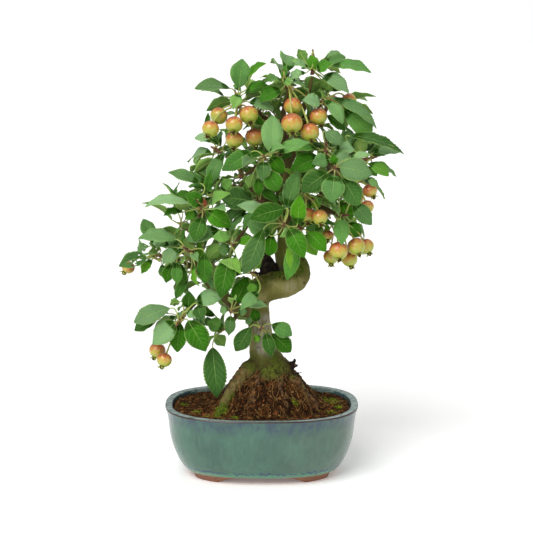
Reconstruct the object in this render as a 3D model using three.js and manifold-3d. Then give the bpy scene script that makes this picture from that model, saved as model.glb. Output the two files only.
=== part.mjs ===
// Crabapple bonsai in a glazed oval pot. Millimetres, +Z up.
// The origin is on the ground, under the middle of the tree's and the pot's common outline.
import * as THREE from "three";
import { mergeVertices } from "three/addons/utils/BufferGeometryUtils.js";
import Module from "manifold-3d";

const wasm = await Module();
wasm.setup();

// ---------------------------------------------------------------- driving dimensions

const gap = 0.35; // between pieces that touch

const pot = {
  width: 180,
  depth: 135,
  height: 66,
  roundness: 2.6, // superellipse power of the outline, 2 is an ellipse
  floorTop: 13,
  archHeight: 5.6,
  archHalfX: 40, // half the span of the arch on a long side
  archHalfY: 22, // and on a short side
  drainX: 32,
  drainRadius: 7,
  sides: 24,
};

// The pot's wall from the underside, up the outside and down the inside: [inset from the rim, height].
// A height of null follows the foot's arch.
const potWall = [
  [33, 7],
  [31.5, null],
  [24.4, null],
  [22.6, 6.4],
  [18.6, 7],
  [14.8, 11.5],
  [8.8, 23.5],
  [5, 36],
  [3, 52],
  [2.4, 61.4],
  [0, 62.4],
  [0, 65],
  [1, 66],
  [6.6, 66],
  [8, 60],
  [13, 32],
  [24, 13],
];

const screen = { size: 26, thickness: 1, hole: 7, holesAcross: 2 };

const soil = {
  rimDrop: 3, // below the pot's rim at the wall
  moundRise: 43,
  moundReach: 63, // along the pot
  moundReachDepth: 51, // across it
  moundTop: 0.12, // share of its reach over which the mound stays level
  centreX: 5,
  bottom: 13,
};

const blade = { thickness: 0.7, arch: 0.42, fold: 0.16 };
const petiole = { halfWidth: 0.75, depth: 1.1 };
const spur = { radius: 2.3, back: 2, sides: 4, clear: 1.3, rootDepth: 0.3, spacing: 1.25 };
const stalk = { radius: 0.85 };
const clearance = { blade: 1.9, wood: 1.3, fruit: 1.8, stalk: 2.1 };

const colours = {
  glaze: 0x4f8f86,
  bark: 0x6d6646,
  leaf: 0x4c8a3c,
  fruit: 0xc9a04a,
  soil: 0x3a2a1e,
  mesh: 0x23272a,
};

// ---------------------------------------------------------------- wood

// Each limb is a list of [x, y, z, radius]. "sides" is how many flats its section has.
const limbs = [
  { name: "trunk", sides: 10, path: [[7, 0, 86, 22], [6, 0, 97, 22], [4, 0, 106, 16.5], [1, 0, 116, 12.8],
    [-1, 0, 132, 11.2], [-3, 0, 150, 10.6], [-4, -2, 163, 11.5], [0, -6, 174, 12.6], [9, -9, 178, 12.6],
    [20, -9, 180, 12.4], [30, -4, 183, 11.6], [34, 5, 190, 11.4], [27, 12, 197, 13.2], [23, 14, 206, 11.2],
    [22, 14, 217, 7.6], [20.5, 13, 228, 6.4], [17.5, 12, 242, 5.9], [17, 10, 256, 5.3], [20.5, 10, 274, 4.9],
    [24, 10, 294, 4.2]] },
  { name: "stem_left", sides: 5, path: [[23.5, 10, 288, 3.6], [21, 10, 304, 3.3], [19.5, 9, 318, 2.9],
    [20, 6, 336, 2.4], [24, 1, 357, 1.7]] },
  { name: "stem_right", sides: 5, path: [[24, 10, 288, 3.6], [31, 12, 304, 3.5], [33.5, 12, 318, 3.1],
    [38, 10, 339, 2.7], [43, 7, 356, 2.1], [46, 5, 369, 1.7]] },
  { name: "to_apex_left", sides: 4, path: [[20, 8, 322, 2.3], [6, 7, 330, 2], [-8, 4, 336, 1.8],
    [-18, 1, 340.5, 1.6]] },
  { name: "left", sides: 6, path: [[-4, -1, 150, 6], [-12, -1, 151.5, 5.2], [-22, -5, 156, 4.7],
    [-36, -8, 170, 4.2], [-49, -8, 182, 3.8], [-58, -9, 195, 3.3], [-61, -17, 205, 2.5],
    [-62, -27, 213, 1.8]] },
  { name: "left_up", sides: 4, path: [[-58, -9, 195, 2.8], [-63, -4, 214, 2.4], [-62, -6, 230, 2.1],
    [-55, -16, 243, 1.8], [-51, -26, 249, 1.6]] },
  { name: "left_out", sides: 4, path: [[-57, -8, 193, 2.6], [-70, -4, 199, 2], [-83, -1, 203, 1.8],
    [-89, 0, 204, 1.6]] },
  { name: "left_low", sides: 4, path: [[-44, -8, 177, 2.8], [-56, -12, 168, 2.1], [-64, -20, 161, 1.8],
    [-69, -28, 157, 1.6]] },
  { name: "mid_left", sides: 4, path: [[18, 12, 241, 3.2], [12, 8, 251, 2.7], [2, 4, 256, 2.4],
    [-9, 0, 267, 2.1], [-16, -2, 279, 1.8], [-25, 2, 290, 1.7], [-33, 4, 297, 1.6]] },
  { name: "right_mid", sides: 5, path: [[18, 12, 240, 3.8], [30, 9, 247, 3.3], [41, 6, 252, 3],
    [56, 2, 262, 2.6], [64, -4, 273, 2.3], [70, -4, 284, 2], [76, -3, 292, 1.8], [88, -1, 292.5, 1.6]] },
  { name: "right_low", sides: 4, path: [[38, 7, 251, 2.6], [52, 0, 251, 2.2], [62, -7, 248, 1.9],
    [67, -10.5, 245.5, 1.6]] },
  { name: "right_up", sides: 4, path: [[35, 12, 322, 2.2], [44, 8, 332, 1.9], [50, 2, 338, 1.7],
    [52, -1.5, 342, 1.6]] },
  { name: "back_mid", sides: 5, path: [[21, 13, 232, 3.6], [17, 28, 242, 3], [8, 44, 254, 2.5],
    [2, 56, 268, 1.9], [0, 62, 279, 1.6]] },
  { name: "back_right", sides: 4, path: [[20, 20, 236, 2.8], [36, 34, 240, 2.3], [52, 46, 246, 1.9],
    [62, 53, 251, 1.6]] },
  { name: "back_left", sides: 4, path: [[12, 38, 250, 2.5], [-8, 42, 254, 2.1], [-28, 44, 260, 1.8],
    [-38, 46, 265, 1.6]] },
  { name: "back_low", sides: 4, path: [[-26, -5, 161, 3], [-36, 10, 168, 2.5], [-46, 26, 178, 2.1],
    [-54, 40, 190, 1.8], [-57, 47, 197, 1.6]] },
  { name: "back_high", sides: 4, path: [[19.5, 9, 312, 2.4], [15, 22, 320, 2], [9, 34, 328, 1.8],
    [6, 39, 334, 1.6]] },
  { name: "back_high_right", sides: 4, path: [[32.5, 12, 312, 2.6], [42, 24, 320, 2.1], [52, 34, 327, 1.8],
    [57, 38, 331, 1.6]] },
  { name: "root_left", sides: 6, path: [[0, -2, 103, 11], [-13, -9, 97, 8.6], [-24, -19, 87, 6.6],
    [-32, -28, 76, 5.4], [-37, -35, 66, 4.2], [-40, -39, 58, 2.8]] },
  { name: "root_right", sides: 5, path: [[10, -3, 101, 10], [24, -10, 93, 6.6], [37, -16, 84, 4.6],
    [47, -22, 72, 3.4], [55, -26, 61, 2.4]] },
  { name: "root_front", sides: 4, path: [[8, -6, 100, 7], [14, -20, 94, 4.4], [20, -31, 80, 3.2],
    [24, -39, 68, 2.4], [26, -43, 60, 1.8]] },
  { name: "root_front_left", sides: 4, path: [[3, -6, 98, 6], [-4, -22, 92, 3.6], [-9, -33, 77, 2.8],
    [-12, -41, 65, 2]] },
  { name: "root_back", sides: 5, path: [[4, 4, 101, 9], [-4, 18, 94, 6], [-12, 30, 80, 4.4],
    [-18, 39, 68, 3.2], [-20, 43, 60, 2.4]] },
  { name: "root_back_right", sides: 5, path: [[8, 3, 101, 8], [22, 14, 93, 5.2], [36, 24, 80, 3.8],
    [46, 31, 67, 2.8], [50, 34, 60, 2.2]] },
  { name: "snag_tall", sides: 4, path: [[17, -5, 181, 5.4], [9, -1, 197, 4.2], [2, 0, 207, 2.8], [-2, -1, 214, 1.4]] },
  { name: "snag_short", sides: 4, path: [[9, -7, 179, 5], [2, -5, 193, 3.4], [-4, -6, 199, 1.8]] },
  { name: "snag_root", sides: 4, path: [[24, -4, 96, 3.4], [29, -6, 104, 2.2], [31, -6, 109, 1.4]] },
];

// ---------------------------------------------------------------- sprays

// A spray grows from one spur. "hub" is the end of the woody twig, "out" is the way the spur points,
// and "from" is the limb that bears it. A leaf is
// [blade base x, y, z, blade tip x, y, z, width, face], where the places are measured from the hub and
// face is the way the blade's upper side looks, in degrees from straight up (0) to straight ahead (90).
// "fill" leaves are added all round by rule, and "fruit" is [x, y, z, radius] for each fruit.
const sprays = [
  { name: "apex_left", hub: [-20, 0, 345], out: [-2, 0, 5], from: "to_apex_left", leaves: [
    [-1, 3, 15, 2, 8, 41, 21, 80], [-9, -2, 15, -41, -6, 15, 17, 35], [-1, -6, 9, -6, -12, -4, 12, 60],
    [-8, 6, 3, -31, 9, -6, 15, -64], [4, 2, 10, 27, 4, 16, 16, 35], [8, -4, 3, 31, -7, -4, 16, 40]],
    fill: 2, fruit: [[-19, -9, -9.1, 8], [-26, -28, -18.8, 7.8], [-5, -27, -15, 7.8], [8, -19, -7.2, 8.6],
    [-5, -19, -29.6, 8], [13, -9, -28.5, 8.6]] },
  { name: "crown_left", hub: [25, 0, 361], out: [-1, 0, 4], from: "stem_left", leaves: [
    [-4, 1, 5, -1, 2, 20, 5, 40], [-4, -4, 4, -21, -8, 6, 15, 15], [-1, -8, -2, -24, -14, -1, 14, -80],
    [-6, -4, -3, -25, -8, -13, 16, 50], [-3, -5, 5, 5, -9, 3, 8, 80], [-7, 2, -12, -12, 3, -24, 10, -50],
    [-3, 6, -16, -10, 8, -32, 18, 70]],
    fill: 2, fruit: [[5, -12, -16.6, 8.3], [4, -32, -30, 9.6], [20, -25, -38.6, 8.6], [28, -14, -26, 8.1]] },
  { name: "crown_right", hub: [46, 4, 374], out: [0, 0, 1], from: "stem_right", leaves: [
    [2, -3, 2, -2, -2, 16, 12, 75], [-6, 2, 8, -13, 4, 21, 11, -50], [-5, 3, 9, -20, 4, 12, 5, 60],
    [4, -4, 2, 17, -6, 8, 13, 60], [16, -6, 6, 53, -8, 1, 17, 35], [10, 2, 5, 26, 3, -1, 10, -40],
    [10, -7, -2, 33, -12, -17, 18, 45], [8, 0, -6, 18, 0, -16, 16, -70], [-2, -9, -3, -19, -16, -20, 20, 70],
    [-4, -5, 3, -17, -7, 6, 13, 35], [-6, -7, 1, -21, -11, -4, 13, 35], [9, 4, -8, -8, 6, -16, 18, -75]],
    fill: 1, fruit: [] },
  { name: "shoulder_right", hub: [54, -4, 346], out: [2, -2, 4], from: "right_up", leaves: [
    [-1, -8, 1, -17, -12, 4, 15, 55], [3, -6, 5, 20, -10, -17, 15, 45], [9, 3, 5, 52, 6, -22, 16, 35],
    [20, 8, -5, 47, 14, -33, 22, 60], [6, -3, -10, 22, -6, -24, 12, 60]],
    fill: 1, fruit: [[11, 20, 0, 6.5], [25.5, 14, 1, 7.8]] },
  { name: "elbow_right", hub: [58, -20, 302], out: [0, -1, 3], from: "right_mid", leaves: [
    [-1, -3, 20, 14, -8, 9, 14, 60], [5, -5, 1, 22, -10, -10, 17, 60], [8, 2, 3, 26, 4, 3, 14, 45],
    [3, -8, -4, -13, -14, -7, 14, 70], [-6, -5, -3, -32, -10, -14, 20, 65]],
    fill: 1, fruit: [] },
  { name: "far_right", hub: [92, 0, 293], out: [4, 0, 1], from: "right_mid", leaves: [
    [-1, 2, 4, -2, 4, 20, 14, -85], [-2, 5, 16, 11, 6, 17, 12, -70], [9, -1, 7, 34, -3, 8, 14, 35],
    [5, -5, -2, 24, -8, -13, 15, 50], [5, 3, -6, 14, 4, -15, 9, 50], [5, 2, -16, 13, 2, -25, 8, 40],
    [-12, -2, 22, 37, -4, 7, 14, 40]],
    fill: 1, fruit: [] },
  { name: "front_right", hub: [64, -54, 293], out: [0, -3, 1], from: "right_mid", leaves: [
    [5, -4, 2, 33, -10, -4, 24, 70], [0, -5, -5, -3, -11, -28, 23, 80], [7, -4, -7, 22, -9, -31, 21, 70],
    [-6, -3, -3, -29, -6, -19, 22, 70], [0, -2, 4, -1, -4, 13, 8, 80]],
    fill: 1, fruit: [] },
  { name: "front_centre", hub: [2, -44, 301], out: [0, -3, 1], from: "mid_left", leaves: [
    [7, 12, 3, 8, 26, 36, 22, 85], [0, -5, -2, -1, -10, -18, 15, 85], [6, 2, 1, 18, 4, -14, 14, 75],
    [2, -6, -9, 13, -9, -28, 18, 80], [-5, -4, -17, -4, -6, -32, 10, 80], [-11, -3, 6, -37, -6, -10, 17, 70],
    [-9, 2, -14, -13, 2, -27, 12, -80], [-8, -6, -1, -18, -40, -2, 13, 45]],
    fill: 1, fruit: [] },
  { name: "up_left", hub: [-36, 5, 300], out: [-3, 0, 2], from: "mid_left", leaves: [
    [-6, 2, -6, -26, 2, -19, 13, -60], [-2, -3, -9, -11, -5, -19, 9, -60], [2, -6, 2, -11, -9, -30, 15, 35]],
    fill: 3, fruit: [] },
  { name: "inner_left", hub: [0, -12, 258], out: [-3, -2, 0], from: "mid_left", leaves: [
    [-8, -2, 0, -37, -6, 4, 24, 75]],
    fill: 2, fruit: [] },
  { name: "centre_left", hub: [-37, -6, 263], out: [-2, -1, 1], from: "mid_left", leaves: [
    [-12, -6, 2, -9, -2, 22, 9, 60], [1, -5, 4, 10, -6, 15, 12, 60]],
    fill: 3, fruit: [] },
  { name: "left_high", hub: [-50, -30, 252], out: [-1, -2, 2], from: "left_up", leaves: [
    [-12, -3, 7, -52, -8, 6, 16, 35], [-1, -6, 7, -15, -12, 17, 16, 70], [-10, 2, 10, -26, 2, 14, 13, 50],
    [2, -4, 1, 25, -10, -13, 18, 70], [-3, 8, 24, -32, 10, 34, 12, 60], [-1, 12, 22, -22, 14, 18, 14, -70],
    [-11, 6, 5, -25, 8, 1, 13, -60], [-5, 3, -3, -17, 4, -8, 12, 45], [-20, 4, -2, -36, 4, -5, 11, 30],
    [-1, -7, -5, -8, -12, -26, 18, 80], [15, -8, -16, -17, -14, -24, 17, 60]],
    fill: 0, fruit: [[-3, 12, 4, 6.5]] },
  { name: "left_mid", hub: [-63, -32, 217], out: [-1, -2, 1], from: "left", leaves: [
    [-14, -4, 12, -47, -8, 14, 17, 40], [-11, -5, 4, -25, -9, -9, 15, 65], [-20, 2, 5, -35, 3, 8, 14, 40],
    [3, -3, 4, -7, -4, 12, 13, -80], [-13, -6, -9, -12, -9, -29, 11, 85], [-18, 0, -12, -23, 0, -29, 12, 60],
    [-9, 2, -12, -10, 2, -32, 14, 70], [-3, 6, -24, -15, 8, -46, 10, 60], [12, -4, 0, 12, -7, -28, 16, 75]],
    fill: 0, fruit: [] },
  { name: "left_tip", hub: [-93, 0, 204], out: [-4, 0, 1], from: "left_out", leaves: [
    [-11, 1, 9, -22, 2, 3, 12, 40], [-13, -4, 0, -38, -7, -8, 17, 60], [-8, -2, -3, -18, -4, -16, 9, 60],
    [1, -3, -7, 3, -5, -20, 9, 80]],
    fill: 2, fruit: [[-31, 10, -12.5, 6.3]] },
  { name: "inner_low", hub: [-26, -36, 222], out: [-1, -3, 1], from: "mid_left", leaves: [
    [-1, -4, 8, -18, -8, 8, 11, 70], [-2, -6, -2, -13, -10, -3, 12, 80], [-8, 2, -1, -24, 2, -15, 18, -80],
    [-3, 0, -11, -11, -2, -49, 22, 75]],
    fill: 1, fruit: [] },
  { name: "hollow", hub: [-7, -30, 194], out: [-1, -3, 1], from: "trunk", leaves: [
    [5, 5, 14, -1, 5, 3, 10, 80], [-1, -3, -5, -2, -6, -18, 9, 80], [3, -3, -5, 0, -5, -20, 8, 80],
    [4, -4, -16, -12, -8, -31, 12, 60]],
    fill: 0, fruit: [] },
  { name: "centre", hub: [20, -46, 241], out: [0, -3, 1], from: "right_mid", leaves: [
    [1, -4, 16, -30, -10, 8, 20, 75], [3, -2, 16, 12, 2, 50, 16, 50], [-1, 2, 18, 4, 4, 32, 14, 60],
    [12, -3, 2, 14, -4, 28, 16, 80], [5, -6, -2, 18, -12, -27, 20, 75], [-18, -5, -2, -36, -10, -42, 21, 75],
    [-13, -3, -8, -33, -8, 5, 17, 75], [-11, 2, -7, -13, 2, -28, 15, 80], [4, -7, -13, 6, -9, -38, 6, 60]],
    fill: 0, fruit: [] },
  { name: "right_inner", hub: [38, -14, 268], out: [0, -2, 1], from: "right_mid", leaves: [
    [2, -6, -8, 20, -8, -14, 17, -70], [-4, -6, -4, -18, -10, -14, 14, 60]],
    fill: 2, fruit: [[3, -16, -20.4, 7.2], [14, -27, -20.4, 7.2]] },
  { name: "right_front", hub: [34, -28, 236], out: [1, -3, 0], from: "right_mid", leaves: [
    [8, -5, -3, 24, -10, -20, 17, 75], [4, 2, -7, 16, 3, -26, 15, 70]],
    fill: 1, fruit: [] },
  { name: "right_low", hub: [70, -12, 243], out: [2, -1, 0], from: "right_low", leaves: [
    [1, -6, -4, 2, -12, -26, 16, 80], [8, 4, -9, 21, 6, -21, 15, 75], [13, -2, 10, 30, -4, -9, 17, 70],
    [2, 8, 12, 10, 10, -8, 18, 75]],
    fill: 1, fruit: [[-1, -20, -30, 8.7], [15.4, -14, -27, 8.3], [25, 1, -29.6, 7.4], [-7, -6, -38, 7.2],
    [10, -2, -41, 7.4], [-10, -8, -18, 5]] },
  { name: "right_mid", hub: [84, 4, 277], out: [2, 1, 1], from: "right_mid", leaves: [],
    fill: 4, fruit: [[15, -3, -11.6, 6.8], [12, -11, -25.4, 6.4], [-5, -9, -14, 6.6], [4, 4, -20, 6]] },
  { name: "low_left", hub: [-70, -32, 155], out: [-1, -2, -1], from: "left_low", leaves: [
    [-12, -5, 8, -45, -10, -4, 20, 55], [-7, -7, -4, -28, -12, -24, 21, 70], [-3, -3, -6, -6, -5, -33, 16, 80],
    [4, -6, -3, 20, -10, -31, 24, 75], [-25, 4, -5, -46, 6, -15, 14, 50], [4, 2, 7, 5, 4, 22, 14, 80],
    [11, 4, 12, 36, 4, 18, 17, 60], [13, -2, 10, 16, -4, -2, 14, 80], [3, -6, 5, 11, -9, 1, 9, 60],
    [-4, 5, 12, -13, 6, 9, 9, -60]],
    fill: 0, fruit: [[-25, 10, -34.8, 7.7], [-18, -3, -40.4, 7]] },
  { name: "under_left", hub: [-33, -10, 139], out: [-2, 0, -1], from: "left", leaves: [
    [-12, -8, -16, -8, -16, -62, 24, 85], [-2, -2, 1, -17, -3, 7, 15, 75], [-10, -4, -6, -1, -6, -16, 13, -80]],
    fill: 0, fruit: [] },
  { name: "on_left", hub: [-28, -25, 159], out: [0, -3, 0], from: "left", leaves: [
    [5, -4, 9, 15, -8, 33, 19, 80], [0, -4, -4, -2, -7, -22, 11, 85], [7, -4, -1, 15, -6, 1, 8, 70],
    [-2, -1, 2, -10, -1, -1, 9, 60]],
    fill: 0, fruit: [] },
  { name: "on_trunk", hub: [0, -17, 140], out: [0, -3, 1], from: "trunk", leaves: [
    [-10, -5, 3, -24, -9, -19, 17, 75], [-4, -3, 8, -8, -4, 20, 11, 80], [4, -5, -3, 9, -9, -24, 13, 80],
    [9, 0, -4, 27, 0, -22, 17, 70], [9, -3, 5, 28, -5, -5, 16, 70], [-1, -6, -5, -7, -9, -10, 8, 60],
    [-8, -2, 5, -15, -3, 10, 8, 60], [-9, 1, 5, -22, 2, 2, 10, 40]],
    fill: 0, fruit: [] },
  { name: "back_mid", hub: [0, 62, 281], out: [0, 2, 3], from: "back_mid", leaves: [], fill: 5, fruit: [] },
  { name: "back_inner", hub: [13, 47, 247], out: [1, 3, -1], from: "back_mid", leaves: [], fill: 5,
    fruit: [[6, 22, -16, 8], [-10, 18, -14, 7.4]] },
  { name: "back_right", hub: [64, 54, 252], out: [3, 2, 1], from: "back_right", leaves: [], fill: 5,
    fruit: [] },
  { name: "back_left", hub: [-40, 47, 266], out: [-3, 1, 1], from: "back_left", leaves: [], fill: 5,
    fruit: [] },
  { name: "back_low", hub: [-58, 49, 199], out: [-1, 2, 2], from: "back_low", leaves: [], fill: 5,
    fruit: [[-3, 19, -20, 7.6], [12, 14, -22, 7]] },
  { name: "back_low_inner", hub: [-40, 34, 178], out: [1, 3, 1], from: "back_low", leaves: [], fill: 4,
    fruit: [] },
  { name: "back_high", hub: [5, 41, 337], out: [-1, 1, 4], from: "back_high", leaves: [], fill: 5,
    fruit: [[-6, 22, -14, 8], [10, 20, -18, 7.4]] },
  { name: "back_high_right", hub: [59, 40, 333], out: [2, 1, 3], from: "back_high_right", leaves: [], fill: 5,
    fruit: [] },
  { name: "right_back", hub: [62, 30, 286], out: [1, 3, 1], from: "right_mid", leaves: [], fill: 5,
    fruit: [] },
  { name: "left_back", hub: [-72, 22, 228], out: [-2, 2, 1], from: "left_up", leaves: [], fill: 5,
    fruit: [] },
];

// ---------------------------------------------------------------- drawing the plan of the tree

const V = (x, y, z) => new THREE.Vector3(x, y, z);
const at = (list) => V(list[0], list[1], list[2]);

// Park-Miller draws, the same on every run
function seeded(seed) {
  let state = seed;
  return () => {
    state = (state * 16807) % 2147483647;
    return state / 2147483647;
  };
}

// Share of the blade's half width at t, from 0 at its base to 1 at its tip
const outline = (t) => 2.58 * Math.pow(t, 0.78) * Math.pow(1 - t, 0.8);

// "look" is the way the blade's upper side faces, as far as its length lets it
function makeLeaf(base, tip, width, look, root) {
  const axis = tip.clone().sub(base);
  const length = axis.length();
  axis.normalize();
  const normal = look.clone().addScaledVector(axis, -look.dot(axis));
  if (normal.length() < 0.1) normal.set(1, 0, 0).addScaledVector(axis, -axis.x);
  normal.normalize();
  const side = normal.clone().cross(axis);
  return { base, tip, root, axis, normal, side, length, width };
}

const bladeLift = (leaf, t, across) => blade.arch * leaf.length * t * (1 - t) + blade.fold * across;

function bladePoint(leaf, t, u) {
  const across = u * (leaf.width / 2) * outline(t);
  return leaf.base.clone()
    .addScaledVector(leaf.axis, leaf.length * t)
    .addScaledVector(leaf.side, across)
    .addScaledVector(leaf.normal, bladeLift(leaf, t, Math.abs(across)));
}

// How far a point is above the blade, or null where it is further than "margin" past the blade's edge
function heightOver(leaf, point, margin) {
  const rel = point.clone().sub(leaf.base);
  const along = rel.dot(leaf.axis);
  if (along < -margin || along > leaf.length + margin) return null;
  const t = Math.min(1, Math.max(0, along / leaf.length));
  const half = (leaf.width / 2) * outline(t);
  const across = Math.abs(rel.dot(leaf.side));
  if (across > half + margin) return null;
  return rel.dot(leaf.normal) - bladeLift(leaf, t, Math.min(across, half));
}

const sampleRows = [0.04, 0.2, 0.36, 0.52, 0.68, 0.84, 1];
const sampleColumns = [-1, -0.5, 0, 0.5, 1];
const sampleBlade = (leaf) => sampleRows.map((t) => sampleColumns.map((u) => bladePoint(leaf, t, u)));

// The stem's way: straight from its root, then round into the line of what it carries
function stemPoint(root, end, endWay, t) {
  const bend = end.clone().addScaledVector(endWay, -0.45 * root.distanceTo(end));
  return root.clone().multiplyScalar((1 - t) * (1 - t))
    .addScaledVector(bend, 2 * t * (1 - t))
    .addScaledVector(end, t * t);
}

function stemSamples(root, end, endWay, skip) {
  const count = Math.max(2, Math.ceil(root.distanceTo(end) / 3));
  const points = [];
  for (let i = 0; i <= count; i++) {
    const point = stemPoint(root, end, endWay, i / count);
    if (point.distanceTo(root) >= skip) points.push(point);
  }
  return points;
}

// True where the grid of points passes through the blade or comes nearer than "keep"
function meets(grid, leaf, keep) {
  const heights = grid.map((row) => row.map((point) => heightOver(leaf, point, keep)));
  for (let i = 0; i < heights.length; i++) {
    for (let j = 0; j < heights[i].length; j++) {
      const h = heights[i][j];
      if (h === null) continue;
      if (Math.abs(h) < keep) return true;
      const next = j + 1 < heights[i].length ? heights[i][j + 1] : null;
      const below = i + 1 < heights.length ? heights[i + 1][j] : null;
      if (next !== null && h * next < 0) return true;
      if (below !== null && h * below < 0) return true;
    }
  }
  return false;
}

function samplePath(path) {
  const points = [];
  for (let i = 0; i + 1 < path.length; i++) {
    const a = path[i];
    const b = path[i + 1];
    const steps = Math.max(1, Math.ceil(at(a).distanceTo(at(b)) / 3));
    for (let k = 0; k < steps; k++) {
      const s = k / steps;
      points.push({ point: at(a).lerp(at(b), s), radius: a[3] + (b[3] - a[3]) * s });
    }
  }
  return points;
}

// The twig from its limb's nearest point to just short of the hub, or null where the limb ends there
function twigFor(spray, hub, out) {
  const limb = limbs.find((one) => one.name === spray.from);
  const near = samplePath(limb.path).reduce((best, one) =>
    one.point.distanceTo(hub) < best.point.distanceTo(hub) ? one : best);
  if (at(limb.path.at(-1)).distanceTo(hub) < 8) return null;
  const end = hub.clone().addScaledVector(out, -spur.back - gap - spur.clear);
  const middle = near.point.clone().lerp(end, 0.55).addScaledVector(out, -0.12 * near.point.distanceTo(end));
  const start = Math.min(near.radius * 0.8, 2.3);
  const ends = [[...near.point.toArray(), start], [...end.toArray(), 1.5]];
  return near.point.distanceTo(end) < 16 ? ends : [ends[0], [...middle.toArray(), 1.8], ends[1]];
}

const spurLength = (one) => 3 + spur.spacing * (one.spray.leaves.length + one.spray.fill);

function drawPlan() {
  const random = seeded(20417);
  const plan = sprays.map((spray, index) => {
    const out = at(spray.out).normalize();
    const limbEnd = at(limbs.find((one) => one.name === spray.from).path.at(-1));
    const hub = at(spray.hub);
    if (limbEnd.distanceTo(hub) < 8) hub.copy(limbEnd).addScaledVector(out, spur.back + gap + spur.clear);
    return { spray, index, hub, out, twig: twigFor(spray, hub, out), leaves: [], fruit: [] };
  });
  const wood = limbs.flatMap((limb) => samplePath(limb.path));
  for (const one of plan) {
    if (one.twig) wood.push(...samplePath(one.twig.map(([x, y, z, r]) => [x, y, z, 1.15 * r])));
  }

  const spurs = plan.flatMap((one) => [-spur.back, 1, 4, 7, 10, 13]
    .filter((along) => along < spurLength(one) + 1.5)
    .map((along) => ({ index: one.index, point: one.hub.clone().addScaledVector(one.out, along) })));

  // fruit, hung by its stalk from a knob beside the spur
  const allFruit = [];
  const stalkPoints = [];
  for (const one of plan) {
    if (!one.spray.fruit.length) continue;
    const middle = V(0, 0, 0);
    for (const f of one.spray.fruit) middle.add(at(f));
    const away = middle.addScaledVector(one.out, -middle.dot(one.out)).normalize();
    one.knob = one.hub.clone().addScaledVector(one.out, 0.5).addScaledVector(away, spur.radius + 2.7);
    stalkPoints.push({ point: one.knob, keep: clearance.stalk + 1.4 });
    for (const f of one.spray.fruit) {
      const centre = one.hub.clone().add(at(f));
      const up = V(0, 0, 1.4).add(one.knob.clone().sub(centre).normalize()).normalize();
      const top = centre.clone().addScaledVector(up, f[3] * 0.8);
      one.fruit.push({ centre, radius: f[3], up, top });
      allFruit.push({ centre, radius: f[3] });
      const way = up.clone().negate();
      for (const point of stemSamples(one.knob, top, way, 2)) {
        if (point.distanceTo(centre) > f[3]) stalkPoints.push({ point, keep: clearance.stalk });
      }
    }
  }

  const placed = [];
  const screenOf = (p) => [p.x, p.z + 0.194 * p.y];
  const fits = (leaf, index, shy) => {
    const grid = sampleBlade(leaf);
    const middle = bladePoint(leaf, 0.5, 0);
    const reach = leaf.length / 2 + 3;
    const stem = stemSamples(leaf.root, leaf.base, leaf.axis, 2.2);
    for (const o of wood) {
      if (o.point.distanceTo(middle) < reach + o.radius + 2) {
        const keep = o.radius + clearance.wood;
        const h = heightOver(leaf, o.point, keep);
        if (h !== null && Math.abs(h) < keep) return false;
      }
      if (stem.some((p) => p.distanceTo(o.point) < o.radius + 1.3)) return false;
    }
    for (const o of spurs) {
      if (o.index === index) continue;
      const keep = spur.radius + clearance.wood;
      if (o.point.distanceTo(middle) < reach + keep) {
        const h = heightOver(leaf, o.point, keep);
        if (h !== null && Math.abs(h) < keep) return false;
      }
      if (stem.some((p) => p.distanceTo(o.point) < keep + 0.6)) return false;
    }
    for (const o of stalkPoints) {
      if (o.point.distanceTo(middle) < reach + 3) {
        const h = heightOver(leaf, o.point, o.keep);
        if (h !== null && Math.abs(h) < o.keep) return false;
      }
      if (stem.some((p) => p.distanceTo(o.point) < o.keep)) return false;
    }
    for (const o of allFruit) {
      const keep = o.radius + clearance.fruit;
      if (grid.flat().some((p) => p.distanceTo(o.centre) < keep)) return false;
      if (stem.some((p) => p.distanceTo(o.centre) < keep)) return false;
      if (shy && o.centre.y < 12) {
        const [fx, fz] = screenOf(o.centre);
        const covers = grid.flat().some((p) => p.y < o.centre.y
          && Math.hypot(screenOf(p)[0] - fx, screenOf(p)[1] - fz) < o.radius + 1);
        if (covers) return false;
      }
    }
    for (const o of placed) {
      const near = o.middle.distanceTo(middle) < reach + o.leaf.length / 2 + 6;
      if (near && (meets(grid, o.leaf, clearance.blade) || meets(o.grid, leaf, clearance.blade))) return false;
      const other = o.index !== index;
      const keep = other ? clearance.blade : 1.3;
      const ours = other ? stem : stem.slice(1);
      if (meets([ours], o.leaf, keep) || meets([o.stem], leaf, keep)) return false;
      if (ours.some((p) => o.stem.some((q) => p.distanceTo(q) < 2.2))) return false;
      if (shy && o.chosen && o.middle.y > middle.y) {
        const [cx, cz] = screenOf(o.middle);
        if (grid.flat().some((p) => Math.hypot(screenOf(p)[0] - cx, screenOf(p)[1] - cz) < 6)) return false;
      }
    }
    return true;
  };
  const place = (one, leaf, chosen) => {
    one.leaves.push(leaf);
    placed.push({ leaf, index: one.index, chosen, grid: sampleBlade(leaf), middle: bladePoint(leaf, 0.5, 0),
      stem: stemSamples(leaf.root, leaf.base, leaf.axis, 4) });
  };
  const rootOn = (one, k, base) => {
    const count = one.spray.leaves.length + one.spray.fill;
    const root = one.hub.clone().addScaledVector(one.out, spurLength(one) * (k + 0.5) / count);
    const way = base.clone().sub(root);
    way.addScaledVector(one.out, -way.dot(one.out)).normalize();
    return root.addScaledVector(way, spur.rootDepth);
  };

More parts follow.
